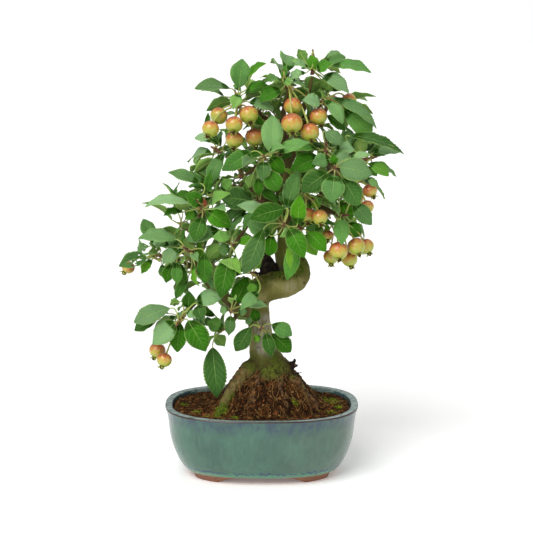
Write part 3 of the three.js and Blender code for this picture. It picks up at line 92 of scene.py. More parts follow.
# each spur: the limb that it grows from, its place, which way it points, how many small leaves fill it, its
# leaves as [base x, y, z, tip x, y, z, width, how far they face the front in degrees] and its fruit as
# [x, y, z, radius], both measured from the spur
sprays = {
    "apex_left": {"from": "to_apex_left", "hub": [-20, 0, 345], "out": [-2, 0, 5], "fill": 2, "leaves": [
        [-1, 3, 15, 2, 8, 41, 21, 80], [-9, -2, 15, -41, -6, 15, 17, 35], [-1, -6, 9, -6, -12, -4, 12, 60],
        [-8, 6, 3, -31, 9, -6, 15, -64], [4, 2, 10, 27, 4, 16, 16, 35], [8, -4, 3, 31, -7, -4, 16, 40]],
        "fruit": [[-19, -9, -9.1, 8], [-26, -28, -18.8, 7.8], [-5, -27, -15, 7.8], [8, -19, -7.2, 8.6],
                  [-5, -19, -29.6, 8], [13, -9, -28.5, 8.6]]},
    "crown_left": {"from": "stem_left", "hub": [25, 0, 361], "out": [-1, 0, 4], "fill": 2, "leaves": [
        [-4, 1, 5, -1, 2, 20, 5, 40], [-4, -4, 4, -21, -8, 6, 15, 15], [-1, -8, -2, -24, -14, -1, 14, -80],
        [-6, -4, -3, -25, -8, -13, 16, 50], [-3, -5, 5, 5, -9, 3, 8, 80],
        [-7, 2, -12, -12, 3, -24, 10, -50], [-3, 6, -16, -10, 8, -32, 18, 70]],
        "fruit": [[5, -12, -16.6, 8.3], [4, -32, -30, 9.6], [20, -25, -38.6, 8.6], [28, -14, -26, 8.1]]},
    "crown_right": {"from": "stem_right", "hub": [46, 4, 374], "out": [0, 0, 1], "fill": 1, "leaves": [
        [2, -3, 2, -2, -2, 16, 12, 75], [-6, 2, 8, -13, 4, 21, 11, -50], [-5, 3, 9, -20, 4, 12, 5, 60],
        [4, -4, 2, 17, -6, 8, 13, 60], [16, -6, 6, 53, -8, 1, 17, 35], [10, 2, 5, 26, 3, -1, 10, -40],
        [10, -7, -2, 33, -12, -17, 18, 45], [8, 0, -6, 18, 0, -16, 16, -70],
        [-2, -9, -3, -19, -16, -20, 20, 70], [-4, -5, 3, -17, -7, 6, 13, 35],
        [-6, -7, 1, -21, -11, -4, 13, 35], [9, 4, -8, -8, 6, -16, 18, -75]]},
    "shoulder_right": {"from": "right_up", "hub": [54, -4, 346], "out": [2, -2, 4], "fill": 1, "leaves": [
        [-1, -8, 1, -17, -12, 4, 15, 55], [3, -6, 5, 20, -10, -17, 15, 45], [9, 3, 5, 52, 6, -22, 16, 35],
        [20, 8, -5, 47, 14, -33, 22, 60], [6, -3, -10, 22, -6, -24, 12, 60]],
        "fruit": [[11, 20, 0, 6.5], [25.5, 14, 1, 7.8]]},
    "elbow_right": {"from": "right_mid", "hub": [58, -20, 302], "out": [0, -1, 3], "fill": 1, "leaves": [
        [-1, -3, 20, 14, -8, 9, 14, 60], [5, -5, 1, 22, -10, -10, 17, 60], [8, 2, 3, 26, 4, 3, 14, 45],
        [3, -8, -4, -13, -14, -7, 14, 70], [-6, -5, -3, -32, -10, -14, 20, 65]]},
    "far_right": {"from": "right_mid", "hub": [92, 0, 293], "out": [4, 0, 1], "fill": 1, "leaves": [
        [-1, 2, 4, -2, 4, 20, 14, -85], [-2, 5, 16, 11, 6, 17, 12, -70], [9, -1, 7, 34, -3, 8, 14, 35],
        [5, -5, -2, 24, -8, -13, 15, 50], [5, 3, -6, 14, 4, -15, 9, 50], [5, 2, -16, 13, 2, -25, 8, 40],
        [-12, -2, 22, 37, -4, 7, 14, 40]]},
    "front_right": {"from": "right_mid", "hub": [64, -54, 293], "out": [0, -3, 1], "fill": 1, "leaves": [
        [5, -4, 2, 33, -10, -4, 24, 70], [0, -5, -5, -3, -11, -28, 23, 80],
        [7, -4, -7, 22, -9, -31, 21, 70], [-6, -3, -3, -29, -6, -19, 22, 70], [0, -2, 4, -1, -4, 13, 8, 80]]},
    "front_centre": {"from": "mid_left", "hub": [2, -44, 301], "out": [0, -3, 1], "fill": 1, "leaves": [
        [7, 12, 3, 8, 26, 36, 22, 85], [0, -5, -2, -1, -10, -18, 15, 85], [6, 2, 1, 18, 4, -14, 14, 75],
        [2, -6, -9, 13, -9, -28, 18, 80], [-5, -4, -17, -4, -6, -32, 10, 80],
        [-11, -3, 6, -37, -6, -10, 17, 70], [-9, 2, -14, -13, 2, -27, 12, -80],
        [-8, -6, -1, -18, -40, -2, 13, 45]]},
    "up_left": {"from": "mid_left", "hub": [-36, 5, 300], "out": [-3, 0, 2], "fill": 3, "leaves": [
        [-6, 2, -6, -26, 2, -19, 13, -60], [-2, -3, -9, -11, -5, -19, 9, -60],
        [2, -6, 2, -11, -9, -30, 15, 35]]},
    "inner_left": {"from": "mid_left", "hub": [0, -12, 258], "out": [-3, -2, 0], "fill": 2, "leaves": [
        [-8, -2, 0, -37, -6, 4, 24, 75]]},
    "centre_left": {"from": "mid_left", "hub": [-37, -6, 263], "out": [-2, -1, 1], "fill": 3, "leaves": [
        [-12, -6, 2, -9, -2, 22, 9, 60], [1, -5, 4, 10, -6, 15, 12, 60]]},
    "left_high": {"from": "left_up", "hub": [-50, -30, 252], "out": [-1, -2, 2], "fill": 0, "leaves": [
        [-12, -3, 7, -52, -8, 6, 16, 35], [-1, -6, 7, -15, -12, 17, 16, 70],
        [-10, 2, 10, -26, 2, 14, 13, 50], [2, -4, 1, 25, -10, -13, 18, 70],
        [-3, 8, 24, -32, 10, 34, 12, 60], [-1, 12, 22, -22, 14, 18, 14, -70],
        [-11, 6, 5, -25, 8, 1, 13, -60], [-5, 3, -3, -17, 4, -8, 12, 45], [-20, 4, -2, -36, 4, -5, 11, 30],
        [-1, -7, -5, -8, -12, -26, 18, 80], [15, -8, -16, -17, -14, -24, 17, 60]],
        "fruit": [[-3, 12, 4, 6.5]]},
    "left_mid": {"from": "left", "hub": [-63, -32, 217], "out": [-1, -2, 1], "fill": 0, "leaves": [
        [-14, -4, 12, -47, -8, 14, 17, 40], [-11, -5, 4, -25, -9, -9, 15, 65],
        [-20, 2, 5, -35, 3, 8, 14, 40], [3, -3, 4, -7, -4, 12, 13, -80],
        [-13, -6, -9, -12, -9, -29, 11, 85], [-18, 0, -12, -23, 0, -29, 12, 60],
        [-9, 2, -12, -10, 2, -32, 14, 70], [-3, 6, -24, -15, 8, -46, 10, 60],
        [12, -4, 0, 12, -7, -28, 16, 75]]},
    "left_tip": {"from": "left_out", "hub": [-93, 0, 204], "out": [-4, 0, 1], "fill": 2, "leaves": [
        [-11, 1, 9, -22, 2, 3, 12, 40], [-13, -4, 0, -38, -7, -8, 17, 60],
        [-8, -2, -3, -18, -4, -16, 9, 60], [1, -3, -7, 3, -5, -20, 9, 80]],
        "fruit": [[-31, 10, -12.5, 6.3]]},
    "inner_low": {"from": "mid_left", "hub": [-26, -36, 222], "out": [-1, -3, 1], "fill": 1, "leaves": [
        [-1, -4, 8, -18, -8, 8, 11, 70], [-2, -6, -2, -13, -10, -3, 12, 80],
        [-8, 2, -1, -24, 2, -15, 18, -80], [-3, 0, -11, -11, -2, -49, 22, 75]]},
    "hollow": {"from": "trunk", "hub": [-7, -30, 194], "out": [-1, -3, 1], "fill": 0, "leaves": [
        [5, 5, 14, -1, 5, 3, 10, 80], [-1, -3, -5, -2, -6, -18, 9, 80], [3, -3, -5, 0, -5, -20, 8, 80],
        [4, -4, -16, -12, -8, -31, 12, 60]]},
    "centre": {"from": "right_mid", "hub": [20, -46, 241], "out": [0, -3, 1], "fill": 0, "leaves": [
        [1, -4, 16, -30, -10, 8, 20, 75], [3, -2, 16, 12, 2, 50, 16, 50], [-1, 2, 18, 4, 4, 32, 14, 60],
        [12, -3, 2, 14, -4, 28, 16, 80], [5, -6, -2, 18, -12, -27, 20, 75],
        [-18, -5, -2, -36, -10, -42, 21, 75], [-13, -3, -8, -33, -8, 5, 17, 75],
        [-11, 2, -7, -13, 2, -28, 15, 80], [4, -7, -13, 6, -9, -38, 6, 60]]},
    "right_inner": {"from": "right_mid", "hub": [38, -14, 268], "out": [0, -2, 1], "fill": 2, "leaves": [
        [2, -6, -8, 20, -8, -14, 17, -70], [-4, -6, -4, -18, -10, -14, 14, 60]],
        "fruit": [[3, -16, -20.4, 7.2], [14, -27, -20.4, 7.2]]},
    "right_front": {"from": "right_mid", "hub": [34, -28, 236], "out": [1, -3, 0], "fill": 1, "leaves": [
        [8, -5, -3, 24, -10, -20, 17, 75], [4, 2, -7, 16, 3, -26, 15, 70]]},
    "right_low": {"from": "right_low", "hub": [70, -12, 243], "out": [2, -1, 0], "fill": 1, "leaves": [
        [1, -6, -4, 2, -12, -26, 16, 80], [8, 4, -9, 21, 6, -21, 15, 75], [13, -2, 10, 30, -4, -9, 17, 70],
        [2, 8, 12, 10, 10, -8, 18, 75]],
        "fruit": [[-1, -20, -30, 8.7], [15.4, -14, -27, 8.3], [25, 1, -29.6, 7.4], [-7, -6, -38, 7.2],
                  [10, -2, -41, 7.4], [-10, -8, -18, 5]]},
    "right_mid": {"from": "right_mid", "hub": [84, 4, 277], "out": [2, 1, 1], "fill": 4,
        "fruit": [[15, -3, -11.6, 6.8], [12, -11, -25.4, 6.4], [-5, -9, -14, 6.6], [4, 4, -20, 6]]},
    "low_left": {"from": "left_low", "hub": [-70, -32, 155], "out": [-1, -2, -1], "fill": 0, "leaves": [
        [-12, -5, 8, -45, -10, -4, 20, 55], [-7, -7, -4, -28, -12, -24, 21, 70],
        [-3, -3, -6, -6, -5, -33, 16, 80], [4, -6, -3, 20, -10, -31, 24, 75],
        [-25, 4, -5, -46, 6, -15, 14, 50], [4, 2, 7, 5, 4, 22, 14, 80], [11, 4, 12, 36, 4, 18, 17, 60],
        [13, -2, 10, 16, -4, -2, 14, 80], [3, -6, 5, 11, -9, 1, 9, 60], [-4, 5, 12, -13, 6, 9, 9, -60]],
        "fruit": [[-25, 10, -34.8, 7.7], [-18, -3, -40.4, 7]]},
    "under_left": {"from": "left", "hub": [-33, -10, 139], "out": [-2, 0, -1], "fill": 0, "leaves": [
        [-12, -8, -16, -8, -16, -62, 24, 85], [-2, -2, 1, -17, -3, 7, 15, 75],
        [-10, -4, -6, -1, -6, -16, 13, -80]]},
    "on_left": {"from": "left", "hub": [-28, -25, 159], "out": [0, -3, 0], "fill": 0, "leaves": [
        [5, -4, 9, 15, -8, 33, 19, 80], [0, -4, -4, -2, -7, -22, 11, 85], [7, -4, -1, 15, -6, 1, 8, 70],
        [-2, -1, 2, -10, -1, -1, 9, 60]]},
    "on_trunk": {"from": "trunk", "hub": [0, -17, 140], "out": [0, -3, 1], "fill": 0, "leaves": [
        [-10, -5, 3, -24, -9, -19, 17, 75], [-4, -3, 8, -8, -4, 20, 11, 80],
        [4, -5, -3, 9, -9, -24, 13, 80], [9, 0, -4, 27, 0, -22, 17, 70], [9, -3, 5, 28, -5, -5, 16, 70],
        [-1, -6, -5, -7, -9, -10, 8, 60], [-8, -2, 5, -15, -3, 10, 8, 60], [-9, 1, 5, -22, 2, 2, 10, 40]]},
    "back_mid": {"from": "back_mid", "hub": [0, 62, 281], "out": [0, 2, 3], "fill": 5},
    "back_inner": {"from": "back_mid", "hub": [13, 47, 247], "out": [1, 3, -1], "fill": 5,
        "fruit": [[6, 22, -16, 8], [-10, 18, -14, 7.4]]},
    "back_right": {"from": "back_right", "hub": [64, 54, 252], "out": [3, 2, 1], "fill": 5},
    "back_left": {"from": "back_left", "hub": [-40, 47, 266], "out": [-3, 1, 1], "fill": 5},
    "back_low": {"from": "back_low", "hub": [-58, 49, 199], "out": [-1, 2, 2], "fill": 5,
        "fruit": [[-3, 19, -20, 7.6], [12, 14, -22, 7]]},
    "back_low_inner": {"from": "back_low", "hub": [-40, 34, 178], "out": [1, 3, 1], "fill": 4},
    "back_high": {"from": "back_high", "hub": [5, 41, 337], "out": [-1, 1, 4], "fill": 5,
        "fruit": [[-6, 22, -14, 8], [10, 20, -18, 7.4]]},
    "back_high_right": {"from": "back_high_right", "hub": [59, 40, 333], "out": [2, 1, 3], "fill": 5},
    "right_back": {"from": "right_mid", "hub": [62, 30, 286], "out": [1, 3, 1], "fill": 5},
    "left_back": {"from": "left_up", "hub": [-72, 22, 228], "out": [-2, 2, 1], "fill": 5},
}


blade = {"arch": 0.42, "fold": 0.16}  # lift for each mm of length, and for each mm from the midrib
spur = {"radius": 2.3, "back": 2, "clear": 1.3, "rootDepth": 0.3, "spacing": 1.25, "least": 3}
twig = {"shortest": 8, "thick": 2.3, "thin": 1.5, "middle": 1.8, "straightUnder": 16}
# how far leaves stay from other blades, wood, fruit and stalks, and stems from wood and from each other
clearance = {"blade": 1.9, "wood": 1.3, "fruit": 1.8, "stalk": 2.1, "stem": 1.3, "stems": 2.2}
# sizes are the least and the added length of the blade, then the same of its stem
leafFill = {"seed": 20417, "tries": 14, "slim": 0.46, "sizes": (27, 13, 9, 10)}
room = {"left": -127, "right": 127, "deep": 87, "top": 388, "low": 92}
viewRise = 0.194  # how much higher a point seems, from the front, for each mm that it lies further back
# leafy shoots, one every so many mm of thin limb
shoots = {"every": 15, "leaves": 4, "tries": 9, "slim": 0.37, "sizes": (17, 13, 5, 9),
          "lowest": 118, "lowestOnTrunk": 225, "thickest": 5.6}
# small leaves past those of the solids: how many more each spur tries for
thicket = {
    "seed": 71, "more": 5, "tries": 12, "slim": 0.37, "sizes": (19, 13, 6, 13),
    "clearance": {"blade": 1.0, "wood": 0.8, "fruit": 1.3, "stalk": 1.5},
    # windows through the crown, seen from the front: low and high x and z, and how far back they reach
    "open": [[-4, 52, 156, 222, 10], [-16, 16, 100, 128, 10], [14, 42, 134, 168, 10],
             [-73, -58, 176, 199, 10], [-62, -46, 158, 182, 10], [-50, -34, 140, 164, 10],
             [-14, 30, 368, 402, 90], [58, 84, 314, 340, 90], [96, 116, 312, 330, 90],
             [-62, -40, 297, 310, 90], [-86, -72, 252, 263, 90], [-120, -94, 208, 238, 90],
             [-100, -80, 162, 177, 90], [-58, -38, 112, 127, 90], [-22, 14, 385, 402, 90],
             [96, 116, 250, 275, 90], [-104, -78, 257, 278, 90], [-34, -14, 96, 142, 90],
             [2, 14, 146, 156, 90], [-84, -72, 224, 236, 90], [100, 120, 288, 300, 90],
             [-106, -74, 240, 254, 90], [-30, -20, 358, 366, 90], [-68, -58, 278, 286, 90],
             [44, 54, 304, 314, 90], [-126, -96, 168, 197, 90], [-100, -84, 222, 242, 90],
             [-96, -72, 254, 272, 90]],
}
golden = math.radians(137.5)


def vec(values):
    return np.array(values[:3], dtype=float)


def unit(v):
    return v / math.sqrt(v @ v)


def distance(a, b):
    return np.sqrt(((a - b) ** 2).sum(axis=-1))


def between(a, b):
    return distance(a[:, None, :], b[None, :, :])


def seeded(seed):
    # Park and Miller's numbers from 0 to 1, the same ones for the same seed
    state = seed
    while True:
        state = (state * 16807) % 2147483647
        yield state / 2147483647


def outline(t):
    # the share of its half width that a blade has, from stem to tip
    return 2.58 * np.power(t, 0.78) * np.power(1 - t, 0.8)


def makeLeaf(base, tip, width, look, root):
    # a blade from base to tip that faces look, on a stem from root
    axis = tip - base
    length = math.sqrt(axis @ axis)
    axis = axis / length
    normal = look - axis * (look @ axis)
    if math.sqrt(normal @ normal) < 0.1:
        normal = np.array((1.0, 0, 0)) - axis * axis[0]
    normal = unit(normal)
    return {"base": base, "tip": tip, "root": root, "axis": axis, "normal": normal,
            "side": np.cross(normal, axis), "length": length, "width": width}


def bladeLift(leaf, t, across):
    return blade["arch"] * leaf["length"] * t * (1 - t) + blade["fold"] * across


def bladePoints(leaf, t, u):
    across = u * (leaf["width"] / 2) * outline(t)
    lift = bladeLift(leaf, t, np.abs(across))
    return (leaf["base"] + np.multiply.outer(leaf["length"] * t, leaf["axis"])
            + np.multiply.outer(across, leaf["side"]) + np.multiply.outer(lift, leaf["normal"]))


def bladeGrid(leaf):
    rows = np.array((0.04, 0.2, 0.36, 0.52, 0.68, 0.84, 1))
    columns = np.array((-1, -0.5, 0, 0.5, 1))
    return bladePoints(leaf, rows[:, None] + 0 * columns, 0 * rows[:, None] + columns)


def bladeMiddle(leaf):
    return bladePoints(leaf, np.array(0.5), np.array(0.0))


def heightOver(leaf, points, margin):
    # how far each point is above the blade, not a number where it is further than margin past the edge
    rel = points - leaf["base"]
    along = rel @ leaf["axis"]
    t = np.clip(along / leaf["length"], 0, 1)
    half = (leaf["width"] / 2) * outline(t)
    across = np.abs(rel @ leaf["side"])
    height = rel @ leaf["normal"] - bladeLift(leaf, t, np.minimum(across, half))
    outside = (along < -margin) | (along > leaf["length"] + margin) | (across > half + margin)
    return np.where(outside, np.nan, height)


def touches(leaf, points, keep):
    with np.errstate(invalid="ignore"):
        return points.size and bool((np.abs(heightOver(leaf, points, keep)) < keep).any())


def meets(grid, leaf, keep):
    # whether a grid of points comes within keep of a blade or passes through it
    if grid.size == 0:
        return False
    heights = heightOver(leaf, grid, keep)
    with np.errstate(invalid="ignore"):
        return bool((np.abs(heights) < keep).any() or (heights[:, 1:] * heights[:, :-1] < 0).any()
                    or (heights[1:] * heights[:-1] < 0).any())


def stemPoint(root, end, endWay, t):
    # a stem bends so that it comes to its end along endWay
    bend = end - endWay * (0.45 * distance(root, end))
    return root * (1 - t) ** 2 + bend * (2 * t * (1 - t)) + end * t * t


def stemSamples(root, end, endWay, skip):
    count = max(2, math.ceil(distance(root, end) / 3))
    points = np.array([stemPoint(root, end, endWay, i / count) for i in range(count + 1)])
    return points[distance(points, root) >= skip]


def samplePath(path):
    # a point and its radius every 3 mm or less
    samples = []
    for a, b in zip(path, path[1:]):
        steps = max(1, math.ceil(distance(vec(a), vec(b)) / 3))
        for k in range(steps):
            s = k / steps
            samples.append((vec(a) + (vec(b) - vec(a)) * s, a[3] + (b[3] - a[3]) * s))
    return samples


def twigFor(path, hub, out):
    # a twig from the nearest point of the limb to just short of the spur
    near, thick = min(samplePath(path), key=lambda sample: distance(sample[0], hub))
    end = hub + out * (-spur["back"] - gap - spur["clear"])
    reach = distance(near, end)
    middle = near + (end - near) * 0.55 + out * (-0.12 * reach)
    ends = [[*near, min(thick * 0.8, twig["thick"])], [*end, twig["thin"]]]
    return ends if reach < twig["straightUnder"] else [ends[0], [*middle, twig["middle"]], ends[1]]


def spurLength(one):
    return spur["least"] + spur["spacing"] * one["buds"]


def newSpur(name, index, hub, out, buds):
    return {"name": name, "index": index, "hub": hub, "out": out, "buds": buds, "leaves": [], "fruit": [],
            "twig": None, "shoot": False}


def setSpurs():
    plan = []
    for index, (name, spray) in enumerate(sprays.items()):
        hub, out = vec(spray["hub"]), unit(vec(spray["out"]))
        path = limbs[spray["from"]]
        one = newSpur(name, index, hub, out, len(spray.get("leaves", [])) + spray["fill"])
        if distance(vec(path[-1]), hub) < twig["shortest"]:
            one["hub"] = vec(path[-1]) + out * (spur["back"] + gap + spur["clear"])
        else:
            one["twig"] = twigFor(path, hub, out)
        plan.append(one)
    return plan


def hangFruit(one, stalks):
    # the fruit of a spur hang from one knob on its side
    hanging = sprays[one["name"]]["fruit"]
    middle = sum(vec(f) for f in hanging)
    away = unit(middle - one["out"] * (middle @ one["out"]))
    one["knob"] = one["hub"] + one["out"] * 0.5 + away * (spur["radius"] + 2.7)
    stalks.append((one["knob"], clearance["stalk"] + 1.4))
    for f in hanging:
        centre = one["hub"] + vec(f)
        up = unit(np.array((0, 0, 1.4)) + unit(one["knob"] - centre))
        top = centre + up * f[3] * 0.8
        one["fruit"].append({"centre": centre, "radius": f[3], "up": up, "top": top})
        for point in stemSamples(one["knob"], top, -up, 2):
            if distance(point, centre) > f[3]:
                stalks.append((point, clearance["stalk"]))


def pairOf(rows):
    # two arrays from rows of a point and a number
    return np.array([row[0] for row in rows]), np.array([row[1] for row in rows])


def takenRoom(plan):
    # what a leaf has to miss, as points with the radius or the distance to keep, or the spur's number
    wood = [sample for path in limbs.values() for sample in samplePath(path)]
    spurs, stalks, fruit = [], [], []
    for one in plan:
        if one["twig"]:
            wood += samplePath([[*p[:3], 1.15 * p[3]] for p in one["twig"]])
        for along in (-spur["back"], 1, 4, 7, 10, 13):
            if along < spurLength(one) + 1.5:
                spurs.append((one["hub"] + one["out"] * along, one["index"]))
        if "fruit" in sprays[one["name"]]:
            hangFruit(one, stalks)
            fruit += [(f["centre"], f["radius"]) for f in one["fruit"]]
    return {"wood": pairOf(wood), "spurs": pairOf(spurs), "stalks": pairOf(stalks), "fruit": pairOf(fruit),
            "leaves": [], "open": []}


def screenOf(p):
    # where points are seen from the front
    return np.stack((p[..., 0], p[..., 2] + viewRise * p[..., 1]), axis=-1)


def fits(leaf, index, shy, taken):
    # whether a leaf misses all that is there, and if it is shy doesn't hide fruit or a large leaf's middle
    grid, middle = bladeGrid(leaf), bladeMiddle(leaf)
    flat = grid.reshape(-1, 3)
    reach = leaf["length"] / 2 + 3
    stem = stemSamples(leaf["root"], leaf["base"], leaf["axis"], 2.2)
    at, radius = taken["wood"]
    close = distance(at, middle) < reach + radius + 2
    if touches(leaf, at[close], radius[close] + clearance["wood"]):
        return False
    if (between(stem, at) < radius + clearance["stem"]).any():
        return False
    at, whose = taken["spurs"]
    other = whose != index
    keep = spur["radius"] + clearance["wood"]
    if touches(leaf, at[other & (distance(at, middle) < reach + keep)], keep):
        return False
    if (between(stem, at[other]) < keep + 0.6).any():
        return False
    at, keep = taken["stalks"]
    close = distance(at, middle) < reach + 3
    if touches(leaf, at[close], keep[close]) or (between(stem, at) < keep).any():
        return False
    at, radius = taken["fruit"]
    keep = radius + clearance["fruit"]
    if (between(flat, at) < keep).any() or (between(stem, at) < keep).any():
        return False
    if shy:
        front = at[:, 1] < 12
        over = between(screenOf(flat), screenOf(at[front])) < radius[front] + 1
        if (over & (flat[:, 1, None] < at[front][None, :, 1])).any():
            return False
    return missesLeaves(leaf, index, shy, taken["leaves"], grid, middle, reach, stem)


def missesLeaves(leaf, index, shy, placed, grid, middle, reach, stem):
    if not placed:
        return True
    theirs = {key: np.array([o[key] for o in placed])
              for key in ("middle", "reach", "stemMiddle", "stemReach")}
    stemMiddle, stemReach = stemBall(leaf)
    # only what lies near enough is compared closely
    bladeNear = distance(theirs["middle"], middle) < reach + theirs["reach"] / 1.2 + 6
    oursNear = distance(theirs["middle"], stemMiddle) < stemReach + theirs["reach"] + 8
    theirsNear = distance(theirs["stemMiddle"], middle) < theirs["stemReach"] + leaf["length"] * 0.6 + 8
    stemsNear = distance(theirs["stemMiddle"], stemMiddle) < theirs["stemReach"] + stemReach + 3
    for k in np.nonzero(bladeNear | oursNear | theirsNear | stemsNear)[0]:
        o = placed[k]
        if bladeNear[k] and (meets(grid, o["leaf"], clearance["blade"])
                             or meets(o["grid"], leaf, clearance["blade"])):
            return False
        apart = o["index"] != index
        keep = clearance["blade"] if apart else clearance["stem"]
        ours = stem if apart else stem[1:]
        if oursNear[k] and meets(ours[None], o["leaf"], keep):
            return False
        if theirsNear[k] and meets(o["stem"][None], leaf, keep):
            return False
        if stemsNear[k] and ours.size and o["stem"].size:
            if (between(ours, o["stem"]) < clearance["stems"]).any():
                return False
    if shy:
        front = np.array([o["chosen"] for o in placed]) & (theirs["middle"][:, 1] > middle[1])
        if (between(screenOf(grid.reshape(-1, 3)), screenOf(theirs["middle"][front])) < 6).any():
            return False
    return True


def stemBall(leaf):
    # a ball round the whole stem
    return (leaf["root"] + leaf["base"]) / 2, distance(leaf["root"], leaf["base"]) * 0.65 + 1


def placeLeaf(one, leaf, chosen, taken):
    stemMiddle, stemReach = stemBall(leaf)
    one["leaves"].append(leaf)
    taken["leaves"].append({"leaf": leaf, "index": one["index"], "chosen": chosen, "grid": bladeGrid(leaf),
                            "middle": bladeMiddle(leaf), "reach": leaf["length"] * 0.6,
                            "stem": stemSamples(leaf["root"], leaf["base"], leaf["axis"], 4),
                            "stemMiddle": stemMiddle, "stemReach": stemReach})


def rootOn(one, k, base):
    # where leaf k leaves its spur, on the side that its blade is on
    root = one["hub"] + one["out"] * (spurLength(one) * (k % one["buds"] + 0.5) / one["buds"])
    way = base - root
    way = unit(way - one["out"] * (way @ one["out"]))
    return root + way * spur["rootDepth"]


def placeLarge(one, taken):
    # the large leaves where they are given, each swung a little nearer or further until it fits
    rows = sprays[one["name"]].get("leaves", [])
    ahead = [vec(row) @ one["out"] for row in rows]
    for index, row in enumerate(rows):
        k = sum(a < ahead[index] or (a == ahead[index] and i < index) for i, a in enumerate(ahead))
        face = math.radians(row[7])
        look = np.array((0, -math.sin(face), math.cos(face)))
        for swing in (0, 4, -4, 8, -8, 12, -12, 16, -16, 20, -20, 25, -25):
            base = one["hub"] + np.array((row[0], row[1] + swing * 0.5, row[2] - swing * 0.1))
            tip = one["hub"] + np.array((row[3], row[4] + swing, row[5] - swing * 0.2))
            leaf = makeLeaf(base, tip, row[6], look, rootOn(one, k, base))
            if fits(leaf, one["index"], False, taken):
                placeLeaf(one, leaf, True, taken)
                break


def placeSmall(one, taken, draws, count, first, how):
    # leaves round the spur in a golden spiral, each tried a few ways until one is free
    around = np.array((0.0, 0, 1)) if abs(one["out"][2]) < 0.9 else np.array((1.0, 0, 0))
    e1 = unit(np.cross(around, one["out"]))
    e2 = np.cross(one["out"], e1)
    outward = unit(np.array((one["hub"][0] - 15, one["hub"][1] - 5, 0)))
    shortest, longer, stemShortest, stemLonger = how["sizes"]
    for k in range(count):
        for attempt in range(how["tries"]):
            turn = k * golden + attempt * 0.8 + next(draws) * 0.5
            lean = 0.7 + next(draws) * 0.8
            length = shortest + next(draws) * longer
            stem = stemShortest + next(draws) * stemLonger
            width = length * (how["slim"] + next(draws) * 0.12)
            droop = next(draws) * 0.4
            tilt = 0.35 + next(draws) * 0.9
            way = (one["out"] * math.cos(lean) + e1 * (math.sin(lean) * math.cos(turn))
                   + e2 * (math.sin(lean) * math.sin(turn)))
            base = one["hub"] + way * stem
            tip = base + unit(way - np.array((0, 0, droop))) * length
            look = outward * math.sin(tilt) + np.array((0, 0, math.cos(tilt)))
            inside = (room["left"] < tip[0] < room["right"] and abs(tip[1]) < room["deep"]
                      and room["low"] < tip[2] < room["top"] and base[2] > room["low"])
            x, z = screenOf((base + tip) / 2)
            for left, right, low, high, back in taken["open"]:
                inside = inside and not (left < x < right and low < z < high and base[1] < back)
            leaf = makeLeaf(base, tip, width, look, rootOn(one, first + k, base))
            if inside and fits(leaf, one["index"], True, taken):
                placeLeaf(one, leaf, False, taken)
                break


def addShoots(plan, taken, draws):
    # short leafy shoots along the limbs
    for name, path in limbs.items():
        if name.startswith(("root", "snag")):
            continue
        line = smoothPath(path, 8)
        along = np.cumsum(np.concatenate(([0], np.linalg.norm(np.diff(line[:, :3], axis=0), axis=1))))
        for k, s in enumerate(np.arange(9, along[-1] - 4, shoots["every"])):
            x, y, z, radius = (np.interp(s, along, line[:, c]) for c in range(4))
            lowest = shoots["lowestOnTrunk"] if name == "trunk" else shoots["lowest"]
            if z < lowest or radius > shoots["thickest"]:
                continue
            ahead = unit(np.array([np.interp(s + 2, along, line[:, c]) - np.interp(s - 2, along, line[:, c])
                                   for c in range(3)]))
            side = unit(np.cross(ahead, (0.2, 0.9, 0.4)))
            turn = k * golden + len(plan)
            out = unit(side * math.cos(turn) + np.cross(ahead, side) * math.sin(turn) + ahead * 0.5)
            hub = np.array((x, y, z)) + out * (radius + 1.2)
            shoot = newSpur(f"{name}_{k}", 1000 + len(plan), hub, out, 2)
            shoot["shoot"] = True
            placeSmall(shoot, taken, draws, shoots["leaves"], 0, shoots)
            if len(shoot["leaves"]) > 1:
                plan.append(shoot)


def drawPlan():
    # every spur with its leaves and fruit: the solids' own first, then the small leaves between them
    plan = setSpurs()
    taken = takenRoom(plan)
    for one in plan:
        placeLarge(one, taken)
    draws = seeded(leafFill["seed"])
    for one in plan:
        spray = sprays[one["name"]]
        placeSmall(one, taken, draws, spray["fill"], len(spray.get("leaves", [])), leafFill)
    taken["open"] = thicket["open"]
    clearance.update(thicket["clearance"])
    draws = seeded(thicket["seed"])
    for one in plan:
        placeSmall(one, taken, draws, thicket["more"], 0.5, thicket)
    addShoots(plan, taken, draws)
    return plan


def smoothPath(points, steps):
    # a centripetal curve through rows of numbers, in so many steps from each row to the next
    p = np.array(points, dtype=float)
    p = np.vstack((2 * p[0] - p[1], p, 2 * p[-1] - p[-2]))
    rows = []
    for i in range(1, len(p) - 2):
        before, start, end, after = p[i - 1:i + 3]
        a, b, c = (math.sqrt(math.dist(*pair)) for pair in ((before, start), (start, end), (end, after)))
        leave = ((start - before) / a - (end - before) / (a + b) + (end - start) / b) * b
        arrive = ((end - start) / b - (after - start) / (b + c) + (after - end) / c) * b
        for s in range(steps + (i == len(p) - 3)):
            t = s / steps
            rows.append(start * (2 * t ** 3 - 3 * t * t + 1) + leave * (t ** 3 - 2 * t * t + t)
                        + end * (3 * t * t - 2 * t ** 3) + arrive * (t ** 3 - t * t))
    return np.array(rows)


def bentGrid(bm, columns, rows, place, material=0):
    # a flat sheet of quads, each corner moved to where place(u, v) puts it, u and v from 0 to 1
    made = bmesh.ops.create_grid(bm, x_segments=columns, y_segments=rows, size=1, calc_uvs=True)["verts"]
    flat = np.rint((np.array([v.co[:2] for v in made]) + 1) / 2 * (columns, rows)) / (columns, rows)
    for vert, point in zip(made, place(flat[:, 0], flat[:, 1])):
        vert.co = point * mm
    setMaterial(made, material)
    return made


def setMaterial(verts, material):
    for face in {f for v in verts for f in v.link_faces}:
        face.material_index = material


